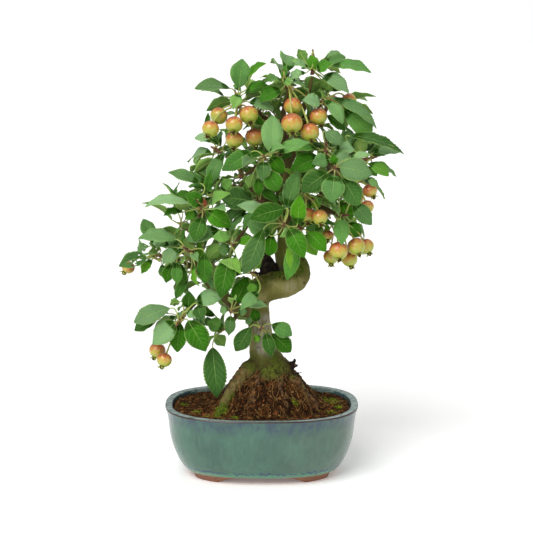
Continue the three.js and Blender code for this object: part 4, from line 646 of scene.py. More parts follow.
def acrossPath(points):
    # two directions square to a path at each of its points, turning as little as they can
    ahead = np.gradient(points, axis=0)
    ahead /= np.linalg.norm(ahead, axis=1)[:, None]
    side = np.array((0.0, 0, 1)) if abs(ahead[0][2]) < 0.9 else np.array((1.0, 0, 0))
    sides = []
    for way in ahead:
        side = unit(side - way * (side @ way))
        sides.append(side)
    sides = np.array(sides)
    return sides, np.cross(ahead, sides)


def tube(bm, points, radii, sides, material=0):
    # a round bar along the points, closed by a pole at each end: its corners
    first, second = (np.vstack((way[:1], way, way[-1:])) for way in acrossPath(points))
    points = np.vstack((points[:1], points, points[-1:]))
    radii = np.concatenate(([0], radii, [0]))

    def place(u, v):
        k = np.rint(v * (len(points) - 1)).astype(int)
        angle = u * 2 * math.pi
        return points[k] + radii[k, None] * (np.cos(angle)[:, None] * first[k]
                                             + np.sin(angle)[:, None] * second[k])

    made = bentGrid(bm, sides, len(points) - 1, place, material)
    bmesh.ops.remove_doubles(bm, verts=made, dist=1e-7)
    return [vert for vert in made if vert.is_valid]


def newMesh():
    bm = bmesh.new()
    bm.loops.layers.uv.new("UVMap")
    return bm


def closeHoles(bm, verts):
    bmesh.ops.remove_doubles(bm, verts=verts, dist=1e-7)
    bmesh.ops.holes_fill(bm, edges=[e for e in bm.edges if e.is_boundary], sides=0)


def addObject(name, bm):
    mesh = bpy.data.meshes.new(name)
    bm.to_mesh(mesh)
    bm.free()
    added = bpy.data.objects.new(name, mesh)
    bpy.context.collection.objects.link(added)
    return added


def newPiece(name, bm, materials, slot, *nodes):
    # the finished object: at the origin, smooth, riding on the tree, standing for its solids
    piece = addObject(name, bm)
    for material in materials:
        piece.data.materials.append(material)
    piece.data.shade_smooth()
    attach(piece, "root")
    if nodes:
        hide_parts(*nodes)
    return piece


def applyModifiers(piece):
    # the modifiers' result becomes the mesh
    bpy.context.view_layer.update()
    shaped = bpy.data.meshes.new_from_object(piece.evaluated_get(bpy.context.evaluated_depsgraph_get()))
    old = piece.data
    piece.modifiers.clear()
    piece.data = shaped
    name = old.name
    bpy.data.meshes.remove(old)
    shaped.name = name


def paint(mesh, name, values):
    # one number for each corner point, for a material to read
    layer = mesh.attributes.new(name, "FLOAT", "POINT")
    layer.data.foreach_set("value", np.asarray(values, dtype=np.float32))


def corners(mesh):
    flat = np.zeros(len(mesh.vertices) * 3, np.float32)
    mesh.vertices.foreach_get("co", flat)
    return flat.reshape(-1, 3) / mm


def smoothStep(low, high, value):
    t = np.clip((value - low) / (high - low), 0, 1)
    return t * t * (3 - 2 * t)


def cloud(points, size, detail=2, seed=0):
    # soft noise from about -1 to 1 at each point, size millimetres from lump to lump
    shift = Vector((seed * 17.3, seed * 5.1, seed * 9.7))
    return np.array([noise.fractal(Vector(p) / size + shift, 0.9, 2.1, detail) for p in points])


def tint(code):
    # an sRGB hex colour as the linear one that a shader takes
    parts = [int(code[i:i + 2], 16) / 255 for i in (0, 2, 4)]
    return tuple(p / 12.92 if p <= 0.04045 else ((p + 0.055) / 1.055) ** 2.4 for p in parts) + (1,)


def add(tree, kind, inputs=None, stops=None, **settings):
    # one node with its settings and inputs: a number, a hex colour, a socket, or a node for its first output
    node = tree.nodes.new("ShaderNode" + kind)
    for key, value in settings.items():
        setattr(node, key, value)
    if stops:
        ramp = node.color_ramp.elements
        for place, _ in stops[1:-1]:
            ramp.new(place)
        for element, (place, colour) in zip(ramp, stops):
            element.position = place
            element.color = tint(colour) if isinstance(colour, str) else (colour, colour, colour, 1)
    for key, value in (inputs or {}).items():
        if isinstance(value, bpy.types.Node):
            value = value.outputs[0]
        if isinstance(value, bpy.types.NodeSocket):
            tree.links.new(value, node.inputs[key])
        else:
            node.inputs[key].default_value = tint(value) if isinstance(value, str) else value
    return node


def newFinish(name):
    material = bpy.data.materials.new(name)
    material.use_nodes = True
    tree = material.node_tree
    tree.nodes.clear()
    return material, tree, add(tree, "TexCoord").outputs["Object"]


def layTones(tree, colour, *tones):
    # each tone goes over what is there, from none where its pattern is low to most where it is high
    for over, pattern, low, high, most in tones:
        share = add(tree, "MapRange", {"Value": pattern, "From Min": low, "From Max": high, "To Max": most})
        colour = add(tree, "MixRGB", {"Fac": share, "Color1": colour, "Color2": over})
    return colour


def closeFinish(tree, colour, roughness, bumps=(), **sockets):
    # the shader, with one bump over another as (height, millimetres)
    inputs = {"Base Color": colour, "Roughness": roughness}
    for height, depth in bumps:
        under = {"Normal": inputs["Normal"]} if "Normal" in inputs else {}
        bump = {"Height": height, "Distance": depth * mm, "Strength": 1, **under}
        inputs["Normal"] = add(tree, "Bump", bump)
    inputs.update({key.replace("_", " "): value for key, value in sockets.items()})
    add(tree, "OutputMaterial", {"Surface": add(tree, "BsdfPrincipled", inputs)})


pot = {
    "width": 180, "depth": 135, "height": 66,
    "roundness": 2.6,  # superellipse power of the outline, 2 is an ellipse
    "archHeight": 5.6, "archHalfX": 40, "archHalfY": 22,  # the foot's arches, with half their span
    "floorTop": 13, "drainX": 32, "drainRadius": 7,
    "sides": 144,
    # the wall's section from under the floor to inside it, as [inset from the widest outline, height]
    "under": [[33, 7], [32.4, 6.4]], "foot": [31.6, 31, 25, 24.3], "cove": [22.8, 6.2],
    "outer": [[18.6, 7], [14.8, 11.5], [8.8, 23.5], [5, 36], [3, 52]],
    "rim": [[2.1, 58], [1.1, 61.6], [0.35, 63.6], [0.1, 64.9], [0.55, 65.8], [1.5, 66], [5.6, 65.9],
            [6.8, 65.1], [7.4, 62]],
    "inner": [[8, 60], [10, 48], [13, 32], [16.5, 20], [20, 15], [24, 13]],
    "glaze": "416957", "glazeDeep": "325146", "glazePale": "5b7e6d", "violet": "314656", "rimBreak": "35241f",
    "blueLine": "17335c", "footGreen": "43805f", "clay": "9c6b50", "clayDark": "6d4936", "sandy": "5f6657",
    "lip": "8fa3a0",
    "violetTop": 79, "violetBottom": 68,  # the dark band under the rim, in mm before the runs let it down
    "lineTop": 10.1, "lineBottom": 4.1,  # the broken blue line near the foot, in mm after its drips
    "glazeEnd": 7.2,
}


def ovalPlace(angle, inset):
    x, y = np.cos(angle), np.sin(angle)
    power = 2 / pot["roundness"]
    return ((pot["width"] / 2 - inset) * (np.sign(x) * np.abs(x) ** power),
            (pot["depth"] / 2 - inset) * (np.sign(y) * np.abs(y) ** power))


def innerInset(height):
    # how far the wall's inner face is from the widest outline
    return np.interp(height, [13, 32, 60, 66], [24, 13, 8, 6.6])


def footHeight(x, y):
    overLong = np.maximum(0, 1 - (np.abs(x) / pot["archHalfX"]) ** 4)
    overShort = np.maximum(0, 1 - (np.abs(y) / pot["archHalfY"]) ** 4)
    return pot["archHeight"] * np.maximum(overLong, overShort)


def glazedStoneware():
    # stoneware under a thick celadon glaze: glassy, pooled dark in the hollows, broken to brown at the lip,
    # with fine runs down the wall where the glaze flowed, and coarse bare clay at the foot
    material, tree, place = newFinish("celadon glaze on stoneware")
    xyz = add(tree, "SeparateXYZ", {0: place})
    height = xyz.outputs["Z"]
    outside = add(tree, "Attribute", attribute_name="outside").outputs["Fac"]
    drawn = add(tree, "Mapping", {"Vector": place, "Scale": (1, 1, 0.09)})
    squat = add(tree, "Mapping", {"Vector": place, "Scale": (1, 1, 0.6)})
    pools = add(tree, "TexNoise", {"Vector": place, "Scale": 1 / (28 * mm), "Detail": 4})
    runs = add(tree, "TexNoise", {"Vector": drawn, "Scale": 1 / (3.5 * mm), "Detail": 3})
    mottle = add(tree, "TexNoise", {"Vector": squat, "Scale": 1 / (5 * mm), "Detail": 3})
    speck = add(tree, "TexNoise", {"Vector": place, "Scale": 1 / (1.1 * mm), "Detail": 2})
    # greyer and sandier to one end, where the kiln's flame went
    toEnd = add(tree, "MapRange", {"Value": xyz, "From Min": 0, "From Max": 85 * mm, "To Max": 0.6})
    toEnd = add(tree, "Math", {0: toEnd, 1: runs}, operation="MULTIPLY")
    # the violet band, its lower edge let down by the runs
    edge = add(tree, "Math", {0: runs, 1: 18 * mm, 2: height}, operation="MULTIPLY_ADD")
    edge = add(tree, "Math", {0: pools, 1: 18 * mm, 2: edge}, operation="MULTIPLY_ADD")
    band = add(tree, "MapRange", {"Value": edge, "From Min": pot["violetBottom"] * mm,
                                  "From Max": pot["violetTop"] * mm}, interpolation_type="SMOOTHSTEP")
    patch = add(tree, "MapRange", {"Value": mottle, "From Min": 0.36, "From Max": 0.62, "To Min": 0.3,
                                   "To Max": 0.95})
    patch = add(tree, "Math", {0: patch, 1: outside}, operation="MULTIPLY")
    colour = layTones(tree, pot["glaze"], (pot["glazeDeep"], pools, 0.42, 0.68, 0.75),
                      (pot["glazePale"], runs, 0.5, 0.8, 0.3), (pot["glazeDeep"], mottle, 0.5, 1.1, 1),
                      (pot["glazePale"], speck, 0.56, 1.3, 1), (pot["sandy"], toEnd, 0, 1, 1),
                      (pot["violet"], band, 0, 1, patch))
    # the lip and the inner face pale, with the glaze broken through to brown on the outer edge
    lip = add(tree, "MapRange", {"Value": height, "From Min": 65.2 * mm, "From Max": 65.8 * mm})
    inner = add(tree, "Math", {0: 1, 1: outside}, operation="SUBTRACT")
    lip = add(tree, "Math", {0: lip, 1: inner}, operation="MAXIMUM")
    greyLip = layTones(tree, pot["lip"], (pot["glazeDeep"], mottle, 0.42, 0.75, 1),
                       (pot["sandy"], speck, 0.5, 0.8, 1))
    rimEdge = add(tree, "Attribute", attribute_name="rimEdge").outputs["Fac"]
    rimEdge = add(tree, "Math", {0: pools, 1: 0.5, 2: rimEdge}, operation="MULTIPLY_ADD")
    # the blue line and its drips above the green band at the foot
    drip = add(tree, "Math", {0: runs, 1: -9 * mm, 2: height}, operation="MULTIPLY_ADD")
    drip = add(tree, "MapRange", {"Value": drip, "From Min": pot["lineBottom"] * mm,
                                  "From Max": pot["lineTop"] * mm})
    line = add(tree, "ValToRGB", {"Fac": drip}, stops=[(0, 0), (0.3, 0), (0.44, 0.85), (0.62, 0.9), (0.76, 0),
                                                       (1, 0)])
    breaks = add(tree, "TexNoise", {"Vector": place, "Scale": 1 / (9 * mm), "Detail": 1})
    crackle = add(tree, "TexVoronoi", {"Vector": place, "Scale": 1 / (3.2 * mm)}, feature="DISTANCE_TO_EDGE")
    # bare clay below the glaze's ragged end
    ragged = add(tree, "Math", {0: pools, 1: 1.6 * mm, 2: height}, operation="MULTIPLY_ADD")
    bare = add(tree, "MapRange", {"Value": ragged, "From Min": (pot["glazeEnd"] + 1.1) * mm,
                                  "From Max": (pot["glazeEnd"] + 0.7) * mm})
    colour = layTones(tree, colour, (greyLip, lip, 0, 1, 1), (pot["rimBreak"], rimEdge, 0.62, 0.95, 1),
                      (pot["footGreen"], height, 13.5 * mm, 11 * mm, 1),
                      (pot["blueLine"], breaks, 0.3, 0.4, line),
                      (pot["glazeDeep"], crackle, 0.06, 0, 0.16),
                      (layTones(tree, pot["clay"], (pot["clayDark"], speck, 0.45, 0.75, 1)), bare, 0, 1, 1))
    rough = add(tree, "MapRange", {"Value": bare, "To Min": 0.24, "To Max": 0.85})
    closeFinish(tree, colour, rough, [(pools, 0.8), (runs, 0.25), (speck, 0.12)], Coat_Weight=0.25,
                Coat_Roughness=0.12)
    return material


def makePot():
    section = [*pot["under"], *([inset, 0] for inset in pot["foot"]), pot["cove"]]
    for line, steps in ((pot["outer"], 4), (pot["rim"], 3), (pot["inner"], 3)):
        section += smoothPath(line, steps).tolist()
    insets, heights = np.array(section, dtype=float).T

    def place(u, v):
        k = np.rint(v * (len(section) - 1)).astype(int)
        x, y = ovalPlace((u + 0.5 / pot["sides"]) * 2 * math.pi, insets[k])
        rise = np.where(heights[k] == 0, footHeight(x, y), heights[k])
        # the wall swells and sinks a little, as hand-pressed clay does
        rise = rise + 0.25 * np.sin(u * 4 * math.pi + 1) * (heights[k] > 20)
        return np.stack((x, y, rise), axis=1)

    bm = newMesh()
    closeHoles(bm, bentGrid(bm, pot["sides"], len(section) - 1, place))
    piece = newPiece("glazed_pot", bm, [glazedStoneware()], "glazed_pot", "pot")
    for x in (-pot["drainX"], pot["drainX"]):
        cut = bmesh.new()
        drill = bmesh.ops.create_cone(cut, cap_ends=True, segments=32, radius1=pot["drainRadius"] * mm,
                                      radius2=pot["drainRadius"] * mm, depth=30 * mm)["verts"]
        bmesh.ops.translate(cut, verts=drill, vec=(x * mm, 0, pot["floorTop"] * mm))
        tool = addObject("drill", cut)
        hole = piece.modifiers.new("drain", "BOOLEAN")
        hole.operation, hole.object, hole.solver = "DIFFERENCE", tool, "EXACT"
        applyModifiers(piece)
        bpy.data.objects.remove(tool)
    at = corners(piece.data)
    power = pot["roundness"]
    x, y = np.abs(at[:, 0]) / (pot["width"] / 2), np.abs(at[:, 1]) / (pot["depth"] / 2)
    share = (x ** power + y ** power) ** (1 / power)  # 1 on the widest outline
    innerShare = 1 - (innerInset(at[:, 2]) - 1) / (pot["depth"] / 2)
    paint(piece.data, "outside", (share > innerShare) | (at[:, 2] < pot["floorTop"] + 0.5))
    paint(piece.data, "rimEdge", np.exp(-((at[:, 2] - 65.3) / 0.9) ** 2) * (share > 0.985))


soil = {
    "rimDrop": 3,  # below the pot's rim at the wall
    "moundRise": 43, "moundReach": 63, "moundReachDepth": 51,  # along the pot and across it
    "moundTop": 0.12,  # share of its reach over which the mound stays level
    "centreX": 5, "halfX": 79, "halfY": 57,
    "around": 220, "across": 84, "sideHeights": [13.35, 22, 32, 45, 56, 62], "edgeHeight": 62.6,
    "lump": 0.9, "crumb": 0.85, "clot": 2.4,  # relief in mm
    "seed": 733, "crumbs": 620, "chips": 110, "fibres": 420, "rootlets": 70, "mossTufts": 150,
    "dark": "1a1009", "brown": "5e3b1c", "rust": "96562e", "pale": "ab8450",
    "moss": "6f8a1c", "mossDark": "38490f",
    # painted shade on the soil: lightest to the left, where the light falls, and darkening it nearly to black
    # over the middle, a little less at the far right, as its least and its added strength
    "shadeLeast": 0.15, "shadeMore": 0.65,
    # thin roots that lie on the soil, as [x, y] from end to end and their radius
    "roots": [
        [[[-41, -42], [-34, -45], [-24, -46], [-15, -43], [-8, -44], [-2, -47]], 0.75],
        [[[16, -38], [21, -44], [28, -47], [36, -46.5], [43, -47]], 0.8],
        [[[-66, -30], [-58, -34], [-49, -33], [-44, -36]], 0.6],
        [[[36, -18], [44, -27], [47, -35], [51, -38]], 1.2],
        [[[58, -20], [66, -27], [73, -26]], 0.6],
        [[[-10, -30], [-13, -38], [-12, -45]], 0.8],
        [[[60, 12], [68, 6], [75, 8]], 0.6],
        [[[-60, 20], [-52, 28], [-40, 33]], 0.8]],
    "mossPatches": [  # x, y and reach
        [-38, -36, 7], [-60, -22, 5], [-24, -44, 3], [64, -24, 6], [60, 18, 9], [66, 14, 8], [30, -30, 3],
        [-50, -38, 3], [-72, 4, 4], [72, -6, 5], [12, 40, 7], [-30, 42, 6]],
}
rootLines = np.vstack([smoothPath(path, 6) for name, path in limbs.items() if name.startswith("root")])


def moundShare(x, y):
    return np.hypot((x - soil["centreX"]) / soil["moundReach"], y / soil["moundReachDepth"])


def soilHeight(x, y):
    height = (pot["height"] - soil["rimDrop"]
              + soil["moundRise"] * (1 - smoothStep(soil["moundTop"], 1, moundShare(x, y))))
    # banked up against the roots
    for px, py, pz, radius in rootLines:
        away = np.hypot(x - px, y - py)
        height = np.maximum(height, pz + 0.1 * radius - 1.3 * np.maximum(0, away - 0.6 * radius))
    return height


def soilTop(x, y):
    # the mound with its relief, clotted round the roots
    at = np.stack((x, y, np.zeros_like(x)), axis=-1)
    clots = 1 - smoothStep(0.45, 0.95, moundShare(x, y))
    return (soilHeight(x, y) + soil["lump"] * cloud(at, 11, 3, 3) + soil["crumb"] * cloud(at, 2.6, 2, 4)
            + soil["clot"] * clots * cloud(at, 6.5, 3, 5) - 0.4)


def onSoil(xy, lift=0.0):
    xy = np.atleast_2d(xy)
    return np.column_stack((xy, soilTop(xy[:, 0], xy[:, 1]) + lift))


def clearOfWall(xy):
    x, y = np.abs(xy[..., 0]) / soil["halfX"], np.abs(xy[..., 1]) / soil["halfY"]
    return np.all(x ** pot["roundness"] + y ** pot["roundness"] < 1)


def peatAndPaintedShade():
    # potting soil: matt, with damp patches that a painted shade darkens nearly to black over all but the
    # left, and with rusty bark, pale fibres and green moss in it
    material, tree, place = newFinish("damp peat and bark soil")
    coarse = add(tree, "TexNoise", {"Vector": place, "Scale": 1 / (9 * mm), "Detail": 5})
    grain = add(tree, "TexNoise", {"Vector": place, "Scale": 1 / (1.6 * mm), "Detail": 4})
    chips = add(tree, "TexVoronoi", {"Vector": place, "Scale": 1 / (1.9 * mm), "Randomness": 1})
    pick = add(tree, "SeparateXYZ", {0: chips.outputs["Color"]})
    paintedSoilShade = add(tree, "Attribute", attribute_name="paintedSoilShade").outputs["Fac"]
    moss = add(tree, "Attribute", attribute_name="moss").outputs["Fac"]
    damp = add(tree, "MapRange", {"Value": coarse, "From Min": 0.42, "From Max": 0.58, "To Min": 0.12})
    leafy = layTones(tree, soil["mossDark"], (soil["moss"], grain, 0.38, 0.6, 1))
    # the damp patches go as dark as the painted shade lets them
    colour = layTones(tree, soil["dark"], (soil["brown"], grain, 0.4, 0.62, 1),
                      (soil["rust"], pick, 0.91, 0.96, 0.6),
                      (soil["pale"], pick.outputs["Y"], 0.93, 0.97, 0.8),
                      (soil["dark"], damp, 0, 1, paintedSoilShade), (leafy, coarse, 0.35, 0.6, moss))
    closeFinish(tree, colour, 0.92, [(coarse, 2), (grain, 1.4), (chips, 0.7)], Specular_IOR_Level=0.06)
    return material


def plainGrain(name, low, high, size, roughness, depth):
    # small bits of one matt stuff in two tones
    material, tree, place = newFinish(name)
    grain = add(tree, "TexNoise", {"Vector": place, "Scale": 1 / (size * mm), "Detail": 3})
    colour = layTones(tree, low, (high, grain, 0.36, 0.64, 1))
    closeFinish(tree, colour, roughness, [(grain, depth)], Specular_IOR_Level=0.1)
    return material


def addLump(bm, draws, middle, size, stretch, turn, rough, material):
    # a squashed and turned pebble, its corners at rough[0] to rough[0] + rough[1] of its size
    made = bmesh.ops.create_icosphere(bm, subdivisions=1, radius=1)["verts"]
    for vert in made:
        point = np.array(vert.co) * stretch * (rough[0] + rough[1] * next(draws))
        vert.co = (point @ turn * size + middle) * mm
    setMaterial(made, material)


def strewCrumbs(bm, draws):
    def spot():
        angle = next(draws) * 2 * math.pi
        share = next(draws) ** 0.6 * 0.93
        x, y = ovalPlace(np.array(angle), 9.5)
        return np.array((float(x) * share, float(y) * share))

    for index in range(soil["crumbs"] + soil["chips"]):
        chip = index >= soil["crumbs"]
        size = 0.5 + 1.6 * next(draws) ** 3 if not chip else 0.7 + 1.2 * next(draws)
        middle = onSoil(spot(), size * 0.25)[0]
        turn = np.linalg.qr(np.array([[next(draws) - 0.5 for _ in range(3)] for _ in range(3)]))[0]
        stretch = np.array((1, 0.6 + 0.4 * next(draws), 0.5)) if not chip else np.array((1.3, 0.7, 0.28))
        addLump(bm, draws, middle, size, stretch, turn, (0.8, 0.4), 1 if chip and index % 3 else 0)
    for _ in range(soil["fibres"]):
        start = spot()
        heading, bend = next(draws) * 2 * math.pi, next(draws) * 2 - 1
        reach = 4 + 9 * next(draws)
        steps = np.linspace(0, 1, 5)
        turn = heading + bend * steps
        line = start + np.stack((np.cos(turn), np.sin(turn)), axis=1) * (steps * reach)[:, None]
        if clearOfWall(line):
            path = onSoil(line, 0.1 + 0.5 * next(draws))
            tube(bm, path, np.array((0.12, 0.24, 0.26, 0.22, 0.1)) * (0.7 + 0.8 * next(draws)), 4, 2)


def matRoots(bm, draws):
    # rootlets matted over the foot of the trunk, most of them to the front, and roots lying on the surface
    for k in range(soil["rootlets"]):
        heading = -math.pi / 2 + (next(draws) - 0.5) * (3.6 if k % 3 else 6.2)
        near, far = 8 + 14 * next(draws), 24 + 24 * next(draws) ** 1.5
        steps = np.linspace(0, 1, 9)
        curl, wide = next(draws) * 6, 0.1 + 0.2 * next(draws)
        turn = heading + wide * np.sin(steps * 3.5 + curl)
        reach = near + (far - near) * steps
        line = np.column_stack((soil["centreX"] + np.cos(turn) * reach, np.sin(turn) * reach * 0.85))
        path = onSoil(line, 0.35)
        path[:, 2] += 0.5 * np.sin(steps * 9 + curl)
        path[[0, -1], 2] -= 1.6
        tube(bm, path, (0.22 + 1.0 * next(draws) ** 4) * np.linspace(1.2, 0.35, 9), 6, 3)
    for line, thick in soil["roots"]:
        path = onSoil(smoothPath(line, 5), thick * 0.45)
        path[:, 2] += 0.4 * np.sin(np.arange(len(path)) * 1.3)
        path[[0, -1], 2] -= thick * 1.6
        tube(bm, path, thick * np.linspace(1.1, 0.6, len(path)), 8, 3)


def growMoss(bm, draws):
    patches = soil["mossPatches"]
    for _ in range(soil["mossTufts"]):
        x, y, reach = patches[int(next(draws) * len(patches))]
        angle, share = next(draws) * 2 * math.pi, math.sqrt(next(draws)) * reach
        xy = np.array((x + math.cos(angle) * share, y + math.sin(angle) * share))
        if clearOfWall(xy):
            size = 0.5 + 0.8 * next(draws)
            addLump(bm, draws, onSoil(xy, size * 0.2)[0], size, (1, 1, 0.7), np.eye(3), (0.7, 0.6), 4)


def makeSoil():
    lows = soil["sideHeights"]
    shares = np.concatenate(([1, 0.985, 0.97], np.linspace(0.955, 0.0, soil["across"])))
    rows = len(lows) + len(shares) - 1

    def place(u, v):
        k = np.rint(v * rows).astype(int)
        low = np.array(lows + [soil["edgeHeight"]] * len(shares))[k]
        share = np.concatenate((np.ones(len(lows)), shares))[k]
        x, y = ovalPlace(u * 2 * math.pi, innerInset(low) + 1.6 * gap)
        x, y = x * share + soil["centreX"] * (1 - share), y * share
        return np.stack((x, y, np.where(k < len(lows), low, soilTop(x, y))), axis=1)

    bm = newMesh()
    closeHoles(bm, bentGrid(bm, soil["around"], rows, place))
    draws = seeded(soil["seed"])
    strewCrumbs(bm, draws)
    matRoots(bm, draws)
    growMoss(bm, draws)
    finishes = [peatAndPaintedShade(), plainGrain("bark chips", "40220f", "b0662f", 1.2, 0.8, 0.3),
                plainGrain("peat fibre", "3a2412", "9a7442", 1.5, 0.85, 0.1),
                plainGrain("fine root bark", "2f200f", "6b4d2b", 1.6, 0.8, 0.25),
                plainGrain("cushion moss", "3a4b0c", "7f9a1c", 0.9, 0.95, 0.4)]
    piece = newPiece("soil_mound", bm, finishes, "soil", "soil")
    at = corners(piece.data)
    green = np.zeros(len(at))
    for x, y, reach in soil["mossPatches"]:
        away = np.hypot(at[:, 0] - x, at[:, 1] - y)
        green = np.maximum(green, 1 - smoothStep(reach * 0.4, reach * 1.3, away))
    paint(piece.data, "moss", green)
    # painted shade: least to the left, where the light falls, most from x -18 to 48 mm, a little less at the
    # far right
    inTheMiddle = smoothStep(-48, -18, at[:, 0]) * (1 - 0.4 * smoothStep(48, 66, at[:, 0]))
    paint(piece.data, "paintedSoilShade", soil["shadeLeast"] + soil["shadeMore"] * inTheMiddle)


wood = {
    "voxel": 1.05, "sides": 20, "thinSides": 12,
    "grey": "66642f", "beige": "8a8350", "mauve": "b5aba2", "olive": "5a5f1e",
    "green": "2b390e", "moss": "5c7118", "brown": "4b361f", "dead": "1a1410",
    "knot": "33261a", "earth": "24170b", "earthPale": "6a4a2a",
    "relief": 0.5, "ripple": 0.22,
    # black broken stubs on the dead wood and the roots, as [x, y, z, x, y, z, radius]
    "stubs": [
        [6, -5, 191, 11, -8, 201, 2.2], [0, -3, 200, 6, -6, 207, 1.8], [4, -6, 187, -7, -9, 191, 2.2],
        [-1, -5, 196, -9, -7, 202, 1.5], [12, -6, 186, 16, -9, 196, 1.7], [-1, -5, 195, 7, -7, 201, 2.6],
        [22, -5, 99, 30, -8, 107, 1.7], [24, -6, 98, 34, -8, 104, 1.5], [25, -4, 98, 26, -5, 107, 1.3],
        [27, -8, 94, 37, -11, 97, 1.5], [30, -10, 91, 38, -13, 91.5, 1.2], [-18, -12, 94, -21, -13, 103, 1.4],
        [14, -20, 92, 17, -27, 93, 1.4], [-2, -21, 90, -4, -28, 89, 1.5]],
    # where the bark is tinted, as [x, y, z, reach, strength], and the most that each tint hides
    "places": {
        "moss": [1, [
            [9, -15, 105, 19, 0.8], [24, -10, 100, 15, 0.6], [-7, -12, 106, 13, 0.8], [12, -12, 114, 9, 0.9],
            [-27, -27, 76, 10, 0.9], [-35, -35, 67, 11, 1], [-40, -38, 60, 9, 1], [33, -6, 194, 10, 1],
            [24, -4, 194, 10, 1], [13, -8, 192, 8, 0.9], [20, -15, 190, 9, 1], [2, -13, 187, 8, 0.8],
            [11, -15, 189, 8, 0.9], [30, -10, 192, 10, 1], [34, 2, 203, 11, 0.9], [25, 0, 200, 9, 0.8],
            [40, 4, 197, 8, 0.8], [10, -8, 193, 5, 0.9], [8, 6, 112, 14, 0.4], [0, 14, 100, 12, 0.6],
            [44, -2, 188, 6, 0.5]]],
        "olive": [0.9, [
            [27, 12, 210, 26, 1], [22, 12, 235, 22, 0.8], [12, -8, 168, 12, 0.55], [2, -10, 155, 13, 0.5],
            [6, -6, 112, 13, 0.8], [38, 0, 186, 14, 0.45], [20, -12, 189, 16, 0.7]]],
        "mauve": [0.8, [
            [4, -12, 140, 16, 1], [5, -12, 122, 14, 1], [-2, -12, 128, 9, 0.5], [26, -18, 180, 8, 0.25]]],
    },
    "knots": [  # x, y, z, half width, half height
        [-3.5, -15, 121.5, 3.2, 1.3], [2, -15.5, 124.5, 2.4, 1.2], [39.5, -13, 182, 2.0, 1.6],
        [6, -14, 146, 1.6, 1.2], [30, -2, 222, 2.2, 1.4], [0.5, -15, 164, 6.5, 0.9]],
}


def thinBark():
    # smooth bark of a young apple stem: satin, grey to olive where algae film it, with fine wrinkles, pale
    # breathing pores, cushions of moss in the crooks, and grey-black dead wood on the stubs
    material, tree, place = newFinish("smooth apple bark")
    drawn = add(tree, "Mapping", {"Vector": place, "Scale": (1, 1, 0.28)})
    soft = add(tree, "TexNoise", {"Vector": place, "Scale": 1 / (16 * mm), "Detail": 4})
    grain = add(tree, "TexNoise", {"Vector": drawn, "Scale": 1 / (2.2 * mm), "Detail": 4})
    fine = add(tree, "TexNoise", {"Vector": place, "Scale": 1 / (0.8 * mm), "Detail": 2})
    pores = add(tree, "TexVoronoi", {"Vector": place, "Scale": 1 / (4.2 * mm)})
    slender, olive, mauve, earth, moss, knot, dead = (
        add(tree, "Attribute", attribute_name=name).outputs["Fac"]
        for name in ("slender", "olive", "mauve", "earth", "moss", "knot", "dead"))
    soilTone = layTones(tree, wood["earth"], (wood["earthPale"], grain, 0.4, 0.62, 1))
    leafy = layTones(tree, wood["green"], (wood["moss"], fine, 0.4, 0.62, 1),
                     (wood["earth"], soft, 0.49, 0.62, 0.7))
    deadTone = layTones(tree, wood["dead"], (wood["brown"], grain, 0.5, 0.75, 1))
    colour = layTones(tree, wood["grey"], (wood["beige"], soft, 0.4, 0.64, 1),
                      (wood["brown"], soft, 0.2, 0.6, slender),
                      (wood["olive"], soft, 0.3, 0.55, olive), (wood["mauve"], grain, 0.3, 0.6, mauve),
                      (wood["brown"], grain, 0.56, 0.8, 0.5), (wood["green"], fine, 0.54, 0.72, 0.4),
                      (wood["beige"], pores, 0.16, 0.06, 0.5), (soilTone, soft, 0.2, 0.4, earth),
                      (leafy, grain, 0.25, 0.55, moss), (wood["knot"], knot, 0, 1, 1),
                      (deadTone, dead, 0, 1, 1))
    rough = add(tree, "MapRange", {"Value": moss, "To Min": 0.62, "To Max": 0.95})
    closeFinish(tree, colour, rough, [(soft, 0.7), (grain, 0.45), (fine, 0.16)], Specular_IOR_Level=0.15)
    return material


def growLimb(bm, index, name, path):
    # one limb as a tube: rows of its centre line with the radius last
    line = smoothPath(path, 8)
    radii = line[:, 3] * (1.0 if name != "twig" else 1.1)
    if name.startswith("root"):
        # roots wander, swell and dive into the soil at their ends
        if name != "root_left":
            radii = radii * (0.82 + 0.3 * cloud(line[:, :3], 9, 2, index))
            line[8:, 0] += 3.4 * cloud(line[8:, :3], 12, 2, 40 + index)
            line[8:, 1] += 2.0 * cloud(line[8:, :3], 12, 2, 50 + index)
        dive = line[-1] + (line[-1] - line[-4]) * 1.2 - (0, 0, 5, 0.8)
        line, radii = np.vstack((line, dive)), np.append(radii, radii[-1] * 0.6)
    # young wood is jointed: it swells a little where buds were
    joints = np.cumsum(np.linalg.norm(np.gradient(line[:, :3], axis=0), axis=1))
    slender = 1 - smoothStep(2.5, 5, radii)
    radii = radii * (1 + 0.13 * slender * np.maximum(0, np.sin(joints / 1.6 + index)) ** 3)
    tube(bm, line[:, :3], radii, wood["sides"] if radii[0] > 5 else wood["thinSides"])
    return np.column_stack((line[:, :3], radii))


def fuseBark(piece):
    # one skin over all the limbs, softened where they meet
    skin = piece.modifiers.new("skin", "REMESH")
    skin.mode, skin.voxel_size = "VOXEL", wood["voxel"] * mm
    applyModifiers(piece)
    bm = bmesh.new()
    bm.from_mesh(piece.data)
    bmesh.ops.smooth_vert(bm, verts=bm.verts, factor=0.5, use_axis_x=True, use_axis_y=True, use_axis_z=True)
    bm.to_mesh(piece.data)
    bm.free()


